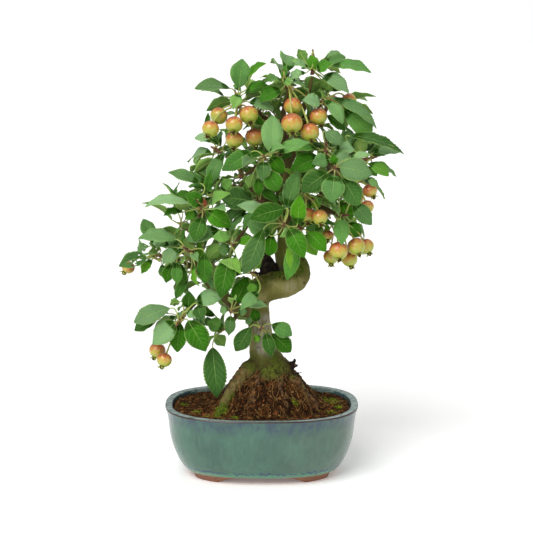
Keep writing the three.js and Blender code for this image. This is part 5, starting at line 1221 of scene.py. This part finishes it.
def barkRelief(at, radius, rough):
    # broad muscles on the thick wood, wrinkles on all, and knots raised round a sunk heart
    move = smoothStep(4, 10, radius) * wood["relief"] * 1.5 * cloud(at * (1, 1, 0.35), 9, 3, 11)
    move += wood["relief"] * 0.6 * cloud(at, 5, 2, 12) * smoothStep(1.8, 4, radius)
    move += wood["ripple"] * cloud(at * (1, 1, 2.2), 2.4, 2, 13)
    move += rough * (0.9 * cloud(at, 3.4, 3, 14) + 1.0 * cloud(at * (1, 1, 0.6), 7, 2, 15))
    foot = 1 - smoothStep(92, 112, at[:, 2])
    move += 1.3 * smoothStep(7, 12, radius) * foot * cloud(at * (1, 1, 0.5), 6, 3, 16)
    knotty = np.zeros(len(at))
    for x, y, z, wide, high in wood["knots"]:
        away = np.sqrt(((at[:, 0] - x) / wide) ** 2 + ((at[:, 1] - y) / 5) ** 2
                       + ((at[:, 2] - z) / high) ** 2)
        knotty = np.maximum(knotty, 1 - smoothStep(0.55, 1.05, away))
        move += 0.7 * np.exp(-((away - 1.3) / 0.5) ** 2) - 0.9 * np.exp(-(away / 0.8) ** 2)
    return move, knotty


def makeWood(plan):
    bm = newMesh()
    paths = list(limbs.items()) + [("twig", one["twig"]) for one in plan if one["twig"]]
    for stub in wood["stubs"]:
        foot, end, radius = np.array(stub[:3]), np.array(stub[3:6]), stub[6]
        middle = (foot + end) / 2 + (0.8, 0, 0.5)
        paths.append(("snag", [[*foot, radius], [*middle, radius * 0.85], [*end, radius * 0.6]]))
    names = [name for name, path in paths]
    skins = [growLimb(bm, index, name, path) for index, (name, path) in enumerate(paths)]
    owners = np.repeat(np.arange(len(skins)), [len(line) for line in skins])
    skins = np.vstack(skins)
    piece = newPiece("bark", bm, [thinBark()], "bark", "trunk")
    fuseBark(piece)
    mesh = piece.data
    at = corners(mesh)
    nearest = np.zeros(len(at), int)
    for k in range(0, len(at), 4000):
        off = np.linalg.norm(at[k:k + 4000, None] - skins[None, :, :3], axis=2) - skins[None, :, 3]
        nearest[k:k + 4000] = off.argmin(axis=1)
    radius, owner = skins[nearest, 3], owners[nearest]
    outward = at - skins[nearest, :3]
    outward /= np.linalg.norm(outward, axis=1)[:, None] + 1e-6

    def onAny(start):
        return np.isin(owner, [i for i, name in enumerate(names) if name.startswith(start)])

    move, knotty = barkRelief(at, radius, onAny(("snag", "root")))
    mesh.vertices.foreach_set("co", ((at + outward * move[:, None]) * mm).astype(np.float32).ravel())
    mesh.update()
    leftRoot = np.isin(owner, [names.index("root_left")])
    earthy = np.maximum(onAny("root") & ~leftRoot, 0.95 * (1 - smoothStep(102, 119, at[:, 2])))
    paint(mesh, "earth", np.where(leftRoot, 0.62 + 0.38 * cloud(at, 6, 3, 17), earthy))
    for tone, (most, places) in wood["places"].items():
        value = np.zeros(len(at))
        for x, y, z, reach, strength in places:
            away = np.linalg.norm(at - (x, y, z), axis=1)
            value = np.maximum(value, strength * (1 - smoothStep(0.45, 1.0, away / reach)))
        paint(mesh, tone, most * value)
    paint(mesh, "knot", knotty)
    paint(mesh, "slender", 0.9 * (1 - smoothStep(3, 6.5, radius)) * (at[:, 2] > 115))
    paint(mesh, "dead", onAny("snag") * smoothStep(3, 9, np.linalg.norm(at - (15, -6, 180), axis=1)))
    mesh.shade_smooth()


foliage = {
    "seed": 4117, "across": 4, "along": 17, "thick": 0.36,
    "wave": 0.85, "tooth": 0.7, "stem": 0.5, "rib": 0.2, "twist": 0.6,
    # paintedSheen is the colour of a painted pale bluish reflection of the sky on leaves that face up
    "deep": "0d2e03", "mid": "3a7f0a", "fresh": "8fbd38", "paintedSheen": "93b884",
    # veinAndRimPale colours the veins and also paints a highlight along each leaf's margin
    "under": "93b65c", "underDeep": "5f8c38", "veinAndRimPale": "a9c873", "stemGreen": "9db556", "stemRed": "8a5238",
    "scar": "7d4f38", "scarDark": "3f2519",
    # where a caterpillar fed on a spray's first two leaves, as [across, along, reach]
    "eaten": {"left_tip": [[0.35, 0.3, 0.09], [0.3, 0.46, 0.07], [0.42, 0.58, 0.08], [0.1, 0.5, 0.08],
                           [0.7, 0.25, 0.05]]},
    # a shoot, or a spur higher than crownFrom, is woody at its foot only, and green past it
    "spurSteps": 22, "woodySteps": 12, "crownFrom": 360,
}


def leafVeins(tree, place):
    # midrib, side veins and a painted highlight along the margin, on the blade's own u and v: how much of
    # them shows, and how high the veins stand
    uv = add(tree, "SeparateXYZ", {0: add(tree, "UVMap", uv_map="UVMap")})
    along = uv.outputs["Y"]
    off = add(tree, "Math", {0: uv, 1: 2, 2: -1}, operation="MULTIPLY_ADD")
    off = add(tree, "Math", {0: off}, operation="ABSOLUTE")  # 0 on the midrib, 1 at the margin
    rib = add(tree, "MapRange", {"Value": off, "From Min": 0.055, "From Max": 0.015})
    # eight or nine side veins each side, leaning forward and curving to the margin
    lean = add(tree, "Math", {0: off, 1: 1.25}, operation="POWER")
    count = add(tree, "Math", {0: along, 1: 8}, operation="MULTIPLY")
    count = add(tree, "Math", {0: lean, 1: -1.8, 2: count}, operation="MULTIPLY_ADD")
    waver = add(tree, "TexNoise", {"Vector": place, "Scale": 1 / (12 * mm)})
    count = add(tree, "Math", {0: waver, 1: 1.3, 2: count}, operation="MULTIPLY_ADD")
    side = add(tree, "Math", {0: count, 1: 0.5}, operation="PINGPONG")
    inside = add(tree, "MapRange", {"Value": off, "From Min": 1, "From Max": 0.8, "To Max": 0.5})
    side = add(tree, "MapRange", {"Value": side, "From Min": 0.12, "From Max": 0.02, "To Max": inside})
    # the midrib thins out towards the tip, and the toothed margin gets a pale painted highlight, as if its
    # edge caught the light
    seen = add(tree, "MapRange", {"Value": along, "From Min": 1.05, "From Max": 0.2, "To Max": 0.5})
    seen = add(tree, "Math", {0: rib, 1: seen}, operation="MULTIPLY")
    faint = add(tree, "Math", {0: side, 1: 0.25}, operation="MULTIPLY")
    seen = add(tree, "Math", {0: seen, 1: faint}, operation="MAXIMUM")
    margin = add(tree, "MapRange", {"Value": off, "From Min": 0.84, "From Max": 1, "To Max": 0.42})
    return (add(tree, "Math", {0: seen, 1: margin}, operation="MAXIMUM"),
            add(tree, "Math", {0: rib, 1: side}, operation="MAXIMUM"))


def leafTop():
    # the upper side of a leaf: waxy, with a pale bluish sheen painted on the leaves that face the sky, and
    # sunk pale veins
    material, tree, place = newFinish("waxy leaf top")
    tone = add(tree, "Attribute", attribute_name="tone").outputs["Fac"]
    # the share of a painted pale bluish sky reflection on each leaf
    paintedSheen = add(tree, "Attribute", attribute_name="paintedSheen").outputs["Fac"]
    cloudy = add(tree, "TexNoise", {"Vector": place, "Scale": 1 / (11 * mm), "Detail": 3})
    cells = add(tree, "TexVoronoi", {"Vector": place, "Scale": 1 / (1.3 * mm)}, feature="SMOOTH_F1")
    veinsAndLitRim, height = leafVeins(tree, place)
    colour = layTones(tree, foliage["deep"], (foliage["mid"], tone, -0.1, 0.5, 1),
                      (foliage["fresh"], tone, 0.5, 1.15, 1), (foliage["deep"], cloudy, 0.5, 0.78, 0.4),
                      (foliage["paintedSheen"], paintedSheen, 0, 1, 1), (foliage["veinAndRimPale"], veinsAndLitRim, 0, 1, 1))
    closeFinish(tree, colour, 0.36, [(height, -0.3), (cells, 0.1)], Specular_IOR_Level=0.12,
                Specular_Tint=(0.75, 1, 0.35, 1), Subsurface_Weight=0.35,
                Subsurface_Radius=(0.0014, 0.0024, 0.0003))
    return material


def leafUnder():
    # the lower side: matt, paler and greyer, with the veins standing proud and the same painted highlight
    # along the margin
    material, tree, place = newFinish("matt leaf underside")
    tone = add(tree, "Attribute", attribute_name="tone").outputs["Fac"]
    veinsAndLitRim, height = leafVeins(tree, place)
    colour = layTones(tree, foliage["underDeep"], (foliage["under"], tone, 0, 1, 1),
                      (foliage["veinAndRimPale"], veinsAndLitRim, 0, 1, 1))
    down = add(tree, "TexNoise", {"Vector": place, "Scale": 1 / (1.2 * mm), "Detail": 2})
    closeFinish(tree, colour, 0.6, [(height, 0.35), (down, 0.1)], Specular_IOR_Level=0.2)
    return material


def leafStem():
    # green stems, reddened towards the spur
    material, tree, place = newFinish("leaf stem")
    red = add(tree, "Attribute", attribute_name="red").outputs["Fac"]
    patch = add(tree, "TexNoise", {"Vector": place, "Scale": 1 / (6 * mm), "Detail": 2})
    share = add(tree, "Math", {0: red, 1: patch}, operation="MULTIPLY")
    colour = layTones(tree, foliage["stemGreen"], (foliage["stemRed"], share, 0, 1, 1))
    closeFinish(tree, colour, 0.45, [(patch, 0.1)])
    return material


def spurBark():
    # a fruiting spur: short wrinkled wood ringed with old bud scars
    material, tree, place = newFinish("ringed spur bark")
    grain = add(tree, "TexNoise", {"Vector": place, "Scale": 1 / (1.6 * mm), "Detail": 3})
    colour = layTones(tree, foliage["scarDark"], (foliage["scar"], grain, 0.35, 0.65, 1))
    closeFinish(tree, colour, 0.7, [(grain, 0.5)])
    return material


def bentBlade(leaf, draws):
    # the shape of one blade, no two alike
    phase, waves = next(draws), 1.8 + 2.2 * next(draws)
    cup, droop = next(draws) * 0.6 - 0.3, leaf["length"] * (0.065 * next(draws) - 0.005)
    skew, turn = 0.45 * next(draws) - 0.2, foliage["twist"] * (next(draws) - 0.5)
    bend = leaf["length"] * 0.07 * (next(draws) - 0.5)
    folded = (0.16 + 0.16 * float(1 - smoothStep(9, 16, leaf["width"]))) * next(draws) + 0.06
    pointed = 0.25 + 0.3 * float(1 - smoothStep(10, 16, leaf["width"]))

    def place(u, v):
        t = 0.65 * v + 0.35 * (0.5 - 0.5 * np.cos(v * math.pi))
        # broadest a little nearer the tip in some and nearer the stem in others, and drawn out to a sharp end
        shape = outline(t ** (1 + skew)) * (1 - pointed * smoothStep(0.65, 0.98, t))
        half = np.maximum(leaf["width"] / 2 * shape, np.where(t < 0.5, foliage["stem"] * 0.8, 0.1))
        over = 1 - 2 * u
        across = over * half
        lift = bladeLift(leaf, t, np.abs(across))
        swell = np.sin(np.pi * t)
        ripple = np.sin(2 * np.pi * (waves * t + phase) + np.sign(over))
        lift = lift + foliage["wave"] * swell * over ** 2 * ripple
        lift = lift + cup * swell * (over ** 2 - 0.4) - droop * np.maximum(0, t - 0.55) ** 2 / 0.2
        lift = lift + across * np.tan(turn * smoothStep(0.2, 1, t)) + folded * np.abs(across)
        across = across + bend * swell * t
        return (leaf["base"] + np.outer(leaf["length"] * t, leaf["axis"]) + np.outer(across, leaf["side"])
                + np.outer(lift, leaf["normal"]))

    return place


def refresh(bm):
    bm.verts.index_update()
    for parts in (bm.verts, bm.edges, bm.faces):
        parts.ensure_lookup_table()


def cutTeeth(bm, leaf, firstEdge):
    # each corner on the long edges is the point of a tooth that leans to the tip, with a notch to each side
    side, axis, foot = Vector(leaf["side"]), Vector(leaf["axis"]), Vector(leaf["base"]) * mm
    margin = [e for e in bm.edges[firstEdge:] if e.is_boundary
              and abs((e.verts[0].co - e.verts[1].co).normalized().dot(axis)) > 0.35]
    points = sorted({v.index for e in margin for v in e.verts})
    bmesh.ops.bisect_edges(bm, edges=margin, cuts=1)
    refresh(bm)
    for vert in (bm.verts[i] for i in points):
        along = (vert.co - foot).dot(axis) / (leaf["length"] * mm)
        size = foliage["tooth"] * max(0, math.sin(math.pi * min(1, max(0, along)))) ** 0.6
        away = 1 if (vert.co - foot).dot(side) > 0 else -1
        vert.co += side * (away * size * mm) + axis * (size * 0.8 * mm)


def makeBlade(bm, leaf, draws, bites):
    finer = 3 if bites else 1
    firstVert, firstEdge, firstFace = len(bm.verts), len(bm.edges), len(bm.faces)
    bentGrid(bm, foliage["across"] * finer, foliage["along"] * finer, bentBlade(leaf, draws))
    bm.faces.ensure_lookup_table()
    uvLayer = bm.loops.layers.uv.active
    gone = [face for face in bm.faces[firstFace:] if bites and any(
        math.dist(face.loops[0][uvLayer].uv, bite[:2]) < bite[2] for bite in bites)]
    bmesh.ops.delete(bm, geom=gone, context="FACES")
    refresh(bm)
    cutTeeth(bm, leaf, firstEdge)
    for face in bm.faces[firstFace:]:
        face.normal_update()
    bmesh.ops.solidify(bm, geom=bm.faces[firstFace:], thickness=foliage["thick"] * mm)
    refresh(bm)
    normal = Vector(leaf["normal"])
    for face in bm.faces[firstFace:]:
        face.normal_update()
        face.material_index = 1 if face.normal.dot(normal) < -0.15 else 0
    return bm.verts[firstVert:]


def leafColours(leaf, draws):
    # small leaves are young and pale, and now and then a big one stays so
    width = leaf["width"]
    fresh = 0.06 + (0.66 - 0.14 * (width > 15)) * next(draws) ** 1.25 + 0.16 * (width < 10.5)
    fresh += 0.28 * (next(draws) > 0.9) * (width < 13)
    # painted sheen: those that look up to the sky get a pale bluish painted reflection, and more so to the
    # left, where the light falls
    upwards = float(smoothStep(0.25, 0.85, leaf["normal"] @ (0, -0.3, 0.95)))
    sheenShare = (0.02 + 0.85 * next(draws) ** 1.5) * upwards
    return fresh, min(0.9, sheenShare * (1.5 - 0.5 * float(smoothStep(-80, -10, leaf["base"][0]))))


def makeStem(bm, leaf):
    # the stem, running on under the blade as its midrib
    stem = [stemPoint(leaf["root"], leaf["base"], leaf["axis"], t) for t in np.linspace(0, 1, 7)]
    stem[-1] = stem[-1] - leaf["normal"] * 0.3
    ts = np.linspace(0.06, 0.8, 7)
    rib = bladePoints(leaf, ts, 0 * ts) - np.outer(foliage["thick"] + 0.1 + 0 * ts, leaf["normal"])
    radii = np.concatenate((np.linspace(0.78, foliage["stem"], 7),
                            np.linspace(foliage["stem"] * 0.8, foliage["rib"], 7)))
    radii[0] = 1.0
    return tube(bm, np.vstack((stem, rib)), radii, 6, 2)


def makeSpur(bm, one, red):
    # the spur, ringed where each leaf and bud has been, with a pointed bud at its end
    length, steps = spurLength(one), foliage["spurSteps"]
    along = np.linspace(-spur["back"], length, steps)
    line = one["hub"] + np.outer(along, one["out"])
    first, second = acrossPath(line)
    line = (line + np.outer(0.25 * np.sin(along * 1.1), first[0])
            + np.outer(0.25 * np.cos(along * 0.9), second[0]))
    rings = 0.68 + 0.2 * np.abs(np.sin(along * 1.35))
    radii = spur["radius"] * rings * (1 - 0.55 * smoothStep(0, length, along))
    young = one["shoot"] or one["hub"][2] > foliage["crownFrom"]
    woody = foliage["woodySteps"] if young else steps
    tube(bm, line[:woody], radii[:woody], 10, 3)
    if woody < steps:
        for vert in tube(bm, line[woody - 2:], radii[woody - 2:], 8, 2):
            vert[red] = 0.75
    bud = line[-1] + np.outer(np.linspace(0, 2, 5), one["out"])
    tube(bm, bud, radii[-1] * np.array((0.9, 1.15, 1.0, 0.6, 0.12)), 8, 3)


def makeSpray(one, finishes, draws):
    bm = newMesh()
    tone, paintedSheen, red = (bm.verts.layers.float.new(name) for name in ("tone", "paintedSheen", "red"))
    for number, leaf in enumerate(one["leaves"]):
        verts = makeBlade(bm, leaf, draws, foliage["eaten"].get(one["name"], ()) if number < 2 else ())
        # each blade's tone and its share of the painted sky sheen
        fresh, sheenShare = leafColours(leaf, draws)
        for vert in verts:
            vert[tone] = fresh
            vert[paintedSheen] = sheenShare
        for vert in makeStem(bm, leaf):
            away = (Vector(leaf["root"]) * mm - vert.co).length / (14 * mm)
            vert[red] = max(0.0, 1.1 - 1.5 * away) + 0.1
            vert[tone] = 0.5
    makeSpur(bm, one, red)
    if one["shoot"]:
        newPiece("shoot_" + one["name"], bm, finishes, "leaf")
    else:
        newPiece("spray_" + one["name"], bm, finishes, "leaf", "leaves_" + one["name"])


fruitLook = {
    "seed": 911, "around": 22, "up": 14, "lean": 0.36,
    "lime": "9fac34", "straw": "bca842", "orange": "c5843a", "rose": "b85f3c", "wine": "93462e",
    "dots": "ddd392",
    "sepal": "a3b44e", "sepalDry": "5d4a24", "eye": "2b1a10", "stalk": "aab555", "stalkRed": "a4703f",
    "stalkRadii": (1.35, 0.95, 0.8, 0.74, 0.72, 0.72, 0.76, 0.86, 1.05),
    "tuftRadii": (1.8, 2.3, 2.1, 1.7, 0.8), "knobRadii": (1.0, 1.6, 1.9, 1.95, 1.8, 1.5, 0.8),
}


def appleSkin():
    # thin waxed skin: yellow-green at the eye, blushed from orange to rose towards the stalk, in fine streaks
    look = fruitLook
    material, tree, place = newFinish("blushed crabapple skin")
    drawn = add(tree, "Mapping", {"Vector": add(tree, "UVMap", uv_map="UVMap"), "Scale": (22, 2.6, 1)})
    streak = add(tree, "TexNoise", {"Vector": drawn, "Scale": 1, "Detail": 3})
    mottle = add(tree, "TexNoise", {"Vector": place, "Scale": 1 / (2.8 * mm), "Detail": 4})
    dots = add(tree, "TexVoronoi", {"Vector": place, "Scale": 1 / (1.3 * mm)})
    blush = add(tree, "Attribute", attribute_name="blush").outputs["Fac"]
    # the blush is moved up and down the fruit by its streaks and mottling
    level = add(tree, "Math", {0: blush, 1: -0.42}, operation="ADD")
    for pattern, low, high, most in ((streak, 0.3, 0.7, 0.3), (mottle, 0.32, 0.68, 0.42)):
        shift = add(tree, "MapRange", {"Value": pattern, "From Min": low, "From Max": high, "To Max": most})
        level = add(tree, "Math", {0: level, 1: shift}, operation="ADD")
    colour = add(tree, "ValToRGB", {"Fac": level}, stops=[
        (0, look["lime"]), (0.3, look["straw"]), (0.52, look["orange"]), (0.76, look["rose"]),
        (1, look["wine"])])
    colour = layTones(tree, colour, (look["dots"], dots, 0.27, 0.1, 0.55))
    closeFinish(tree, colour, 0.34, [(mottle, 0.15), (streak, 0.05)], Coat_Weight=0.3, Coat_Roughness=0.16,
                Subsurface_Weight=0.12, Subsurface_Radius=(0.004, 0.0016, 0.0006))
    return material


def stalkSkin():
    # a green stalk, reddened near its knob
    material, tree, place = newFinish("fruit stalk")
    red = add(tree, "Attribute", attribute_name="blush").outputs["Fac"]
    patch = add(tree, "TexNoise", {"Vector": place, "Scale": 1 / (4 * mm), "Detail": 2})
    closeFinish(tree, layTones(tree, fruitLook["stalk"], (fruitLook["stalkRed"], red, 0, 1, 1)), 0.5,
                [(patch, 0.15)])
    return material


def sepalSkin():
    # dried tips on green sepals
    material, tree, place = newFinish("withered sepal")
    share = add(tree, "Attribute", attribute_name="blush").outputs["Fac"]
    grain = add(tree, "TexNoise", {"Vector": place, "Scale": 1 / (1.4 * mm), "Detail": 2})
    share = add(tree, "Math", {0: share, 1: grain}, operation="ADD")
    colour = layTones(tree, fruitLook["sepalDry"], (fruitLook["sepal"], share, 0.2, 0.65, 1))
    closeFinish(tree, colour, 0.65, [(grain, 0.1)])
    return material


def makeApple(bm, blush, centre, radius, turned, ripe):
    # a sphere drawn in at both ends, redder on top and to its left
    ball = bmesh.ops.create_uvsphere(bm, u_segments=fruitLook["around"], v_segments=fruitLook["up"],
                                     radius=1, calc_uvs=True)
    for vert in ball["verts"]:
        x, y, z = vert.co
        wide = math.hypot(x, y)
        level = z * 0.95
        if z > 0:
            level -= 0.15 * max(0, 1 - (wide / 0.48) ** 2) ** 1.2
        else:
            level += 0.1 * max(0, 1 - (wide / 0.38) ** 2)
            narrow = 1 - 0.06 * z * z
            x, y = x * narrow, y * narrow
        spot = np.array((x, y, level)) @ turned
        vert[blush] = 0.5 + 0.42 * z + 0.16 * (spot @ unit(np.array((-0.35, -0.3, 0.9)))) + 0.3 * (ripe - 0.5)
        vert.co = (centre + spot * radius) * mm


def makeSepal(bm, blush, eye, up, away, reach, flare):
    beside = np.cross(up, away)

    def place(u, v):
        wide = (1.25 * (1 - v) ** 0.7 + 0.03) * (u - 0.5) * 2.0
        drop = -0.4 - (3.0 + 1.2 * flare) * v * (1 - 0.35 * v)
        return (eye + np.outer(1.7 + reach * 0.85 * v * (1.2 - 0.7 * flare), away) + np.outer(wide, beside)
                + np.outer(drop + 0.3 * np.abs(u - 0.5), up))

    firstVert, firstFace = len(bm.verts), len(bm.faces)
    bentGrid(bm, 2, 3, place, 3)
    refresh(bm)
    bmesh.ops.solidify(bm, geom=bm.faces[firstFace:], thickness=0.22 * mm)
    refresh(bm)
    for vert in bm.verts[firstVert:]:
        vert[blush] = 1 - smoothStep(0, reach * mm, np.array((vert.co - Vector(eye) * mm).length))


def makeBunch(one, finishes, draws):
    bm = newMesh()
    blush = bm.verts.layers.float.new("blush")
    knob = one["knob"]
    for fruit in one["fruit"]:
        radius, centre = fruit["radius"], fruit["centre"]
        # the eye looks a little outwards
        facing = -1 if centre[1] < 25 else 1
        up = unit(fruit["up"] - np.array((0.1 * (centre[0] - 15) / 60, fruitLook["lean"] * facing, 0)))
        top = centre + up * np.linalg.norm(fruit["top"] - centre)
        first = unit(np.cross(up, (0.3, 1, 0.2)))
        second = np.cross(up, first)
        ripe = next(draws)
        makeApple(bm, blush, centre, radius, np.stack((first, second, up)), ripe)
        stalk = np.array([stemPoint(knob, top - up * 0.4, -up, t) for t in np.linspace(0, 1, 9)])
        for vert in tube(bm, stalk, np.array(fruitLook["stalkRadii"]), 8, 1):
            vert[blush] = 0.8 - 1.0 * (vert.co - Vector(knob) * mm).length / (14 * mm)
        # a withered tuft hangs from the eye between five sepals
        eye = centre - up * radius * 0.86
        tube(bm, eye + np.outer((0.8, 0.1, -0.9, -2.2, -3.2), up), np.array(fruitLook["tuftRadii"]), 8, 2)
        for k in range(5):
            angle = k * 2 * math.pi / 5 + ripe * 3
            away = first * math.cos(angle) + second * math.sin(angle)
            reach, flare = radius * (0.5 + 0.22 * next(draws)), next(draws)
            makeSepal(bm, blush, eye, up, away, reach, flare)
    # the knob that the stalks spring from
    line = knob + np.outer(np.linspace(-1.9, 1.9, 7), unit(knob - one["hub"]))
    tube(bm, line, np.array(fruitLook["knobRadii"]), 10, 1)
    newPiece("bunch_" + one["name"], bm, finishes, "fruit", "fruit_" + one["name"])


def screenPlastic():
    # moulded plastic mesh: even dark green-black with a faint satin skin
    material, tree, place = newFinish("moulded drain mesh")
    grain = add(tree, "TexNoise", {"Vector": place, "Scale": 1 / (0.9 * mm), "Detail": 2})
    colour = layTones(tree, "1c211d", ("2a302b", grain, 0.4, 0.6, 1))
    closeFinish(tree, colour, 0.5, [(grain, 0.08)])
    return material


studio = {
    "distance": 1600, "elevation": 11, "aim": (4.5, 0, 195), "focal": 1738 / 533 * 36, "sensor": 36,
    "floor": "fbfbfa", "sky": 0.34, "backlight": 0.14,
    # soft lamps: name, kind, where it stands in metres, its width or its angle, and how strong it is
    "lamps": (("key", "SUN", (-0.8, -1.3, 1.7), math.radians(45), 2.7),
              ("fill", "AREA", (1.3, -1.2, 0.9), 1.2, 3.5),
              ("rim", "SUN", (0.5, 0.9, 1.5), math.radians(70), 0.6)),
    "lampsAim": (0, 0, 0.22),
}


def placeCamera():
    lift = math.radians(studio["elevation"])
    back = Vector((0, -math.cos(lift), math.sin(lift)))
    camera = bpy.data.objects.new("camera", bpy.data.cameras.new("camera"))
    camera.data.lens, camera.data.sensor_width = studio["focal"], studio["sensor"]
    camera.data.clip_end = 20
    camera.location = (Vector(studio["aim"]) + back * studio["distance"]) * mm
    camera.rotation_euler = (-back).to_track_quat("-Z", "Y").to_euler()
    bpy.context.collection.objects.link(camera)
    bpy.context.scene.camera = camera


def layFloor():
    # matt white paper with a little light behind it
    bm = bmesh.new()
    bmesh.ops.create_grid(bm, x_segments=1, y_segments=1, size=6)
    floor = addObject("floor", bm)
    material, tree, place = newFinish("white paper sweep")
    fibre = add(tree, "TexNoise", {"Vector": place, "Scale": 30})
    closeFinish(tree, layTones(tree, studio["floor"], ("ffffff", fibre, 0, 1, 1)), 0.9,
                Emission_Color=(1, 1, 1, 1), Emission_Strength=studio["backlight"])
    floor.data.materials.append(material)


def lightRoom():
    # the room looks white but lights the tree more softly than the lamps do
    scene = bpy.context.scene
    scene.view_settings.view_transform = "Standard"
    world = bpy.data.worlds.new("soft white room")
    scene.world = world
    world.use_nodes = True
    tree = world.node_tree
    tree.nodes.clear()
    seen = add(tree, "LightPath").outputs["Is Camera Ray"]
    strength = add(tree, "MapRange", {"Value": seen, "To Min": studio["sky"], "To Max": 1})
    light = add(tree, "Background", {"Color": (1, 1, 1, 1), "Strength": strength})
    add(tree, "OutputWorld", {"Surface": light})
    for name, kind, place, size, power in studio["lamps"]:
        lamp = bpy.data.lights.new(name, kind)
        lamp.energy = power
        if kind == "SUN":
            lamp.angle = size
        else:
            lamp.shape, lamp.size = "SQUARE", size
        stand = bpy.data.objects.new(name, lamp)
        stand.location = place
        ahead = Vector(studio["lampsAim"]) - Vector(place)
        stand.rotation_euler = ahead.to_track_quat("-Z", "Y").to_euler()
        bpy.context.collection.objects.link(stand)


print("placing leaves and fruit")
treePlan = drawPlan()
print("pot")
makePot()
print("soil")
makeSoil()
print("wood")
makeWood(treePlan)
print("leaves")
leafFinishes = [leafTop(), leafUnder(), leafStem(), spurBark()]
leafDraws = seeded(foliage["seed"])
for one in treePlan:
    makeSpray(one, leafFinishes, leafDraws)
print(sum(len(one["leaves"]) for one in treePlan), "leaves")
print("fruit")
eyeTuft = plainGrain("dried calyx eye", fruitLook["eye"], fruitLook["sepalDry"], 0.8, 0.9, 0.2)
fruitFinishes = [appleSkin(), stalkSkin(), eyeTuft, sepalSkin()]
fruitDraws = seeded(fruitLook["seed"])
for one in treePlan:
    if one["fruit"]:
        makeBunch(one, fruitFinishes, fruitDraws)
print("drain screens")
plastic = screenPlastic()
for name in ("drain_screen_left", "drain_screen_right"):
    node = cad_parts[name]
    node.data.materials.clear()
    node.data.materials.append(plastic)
print("studio")
placeCamera()
layFloor()
lightRoom()
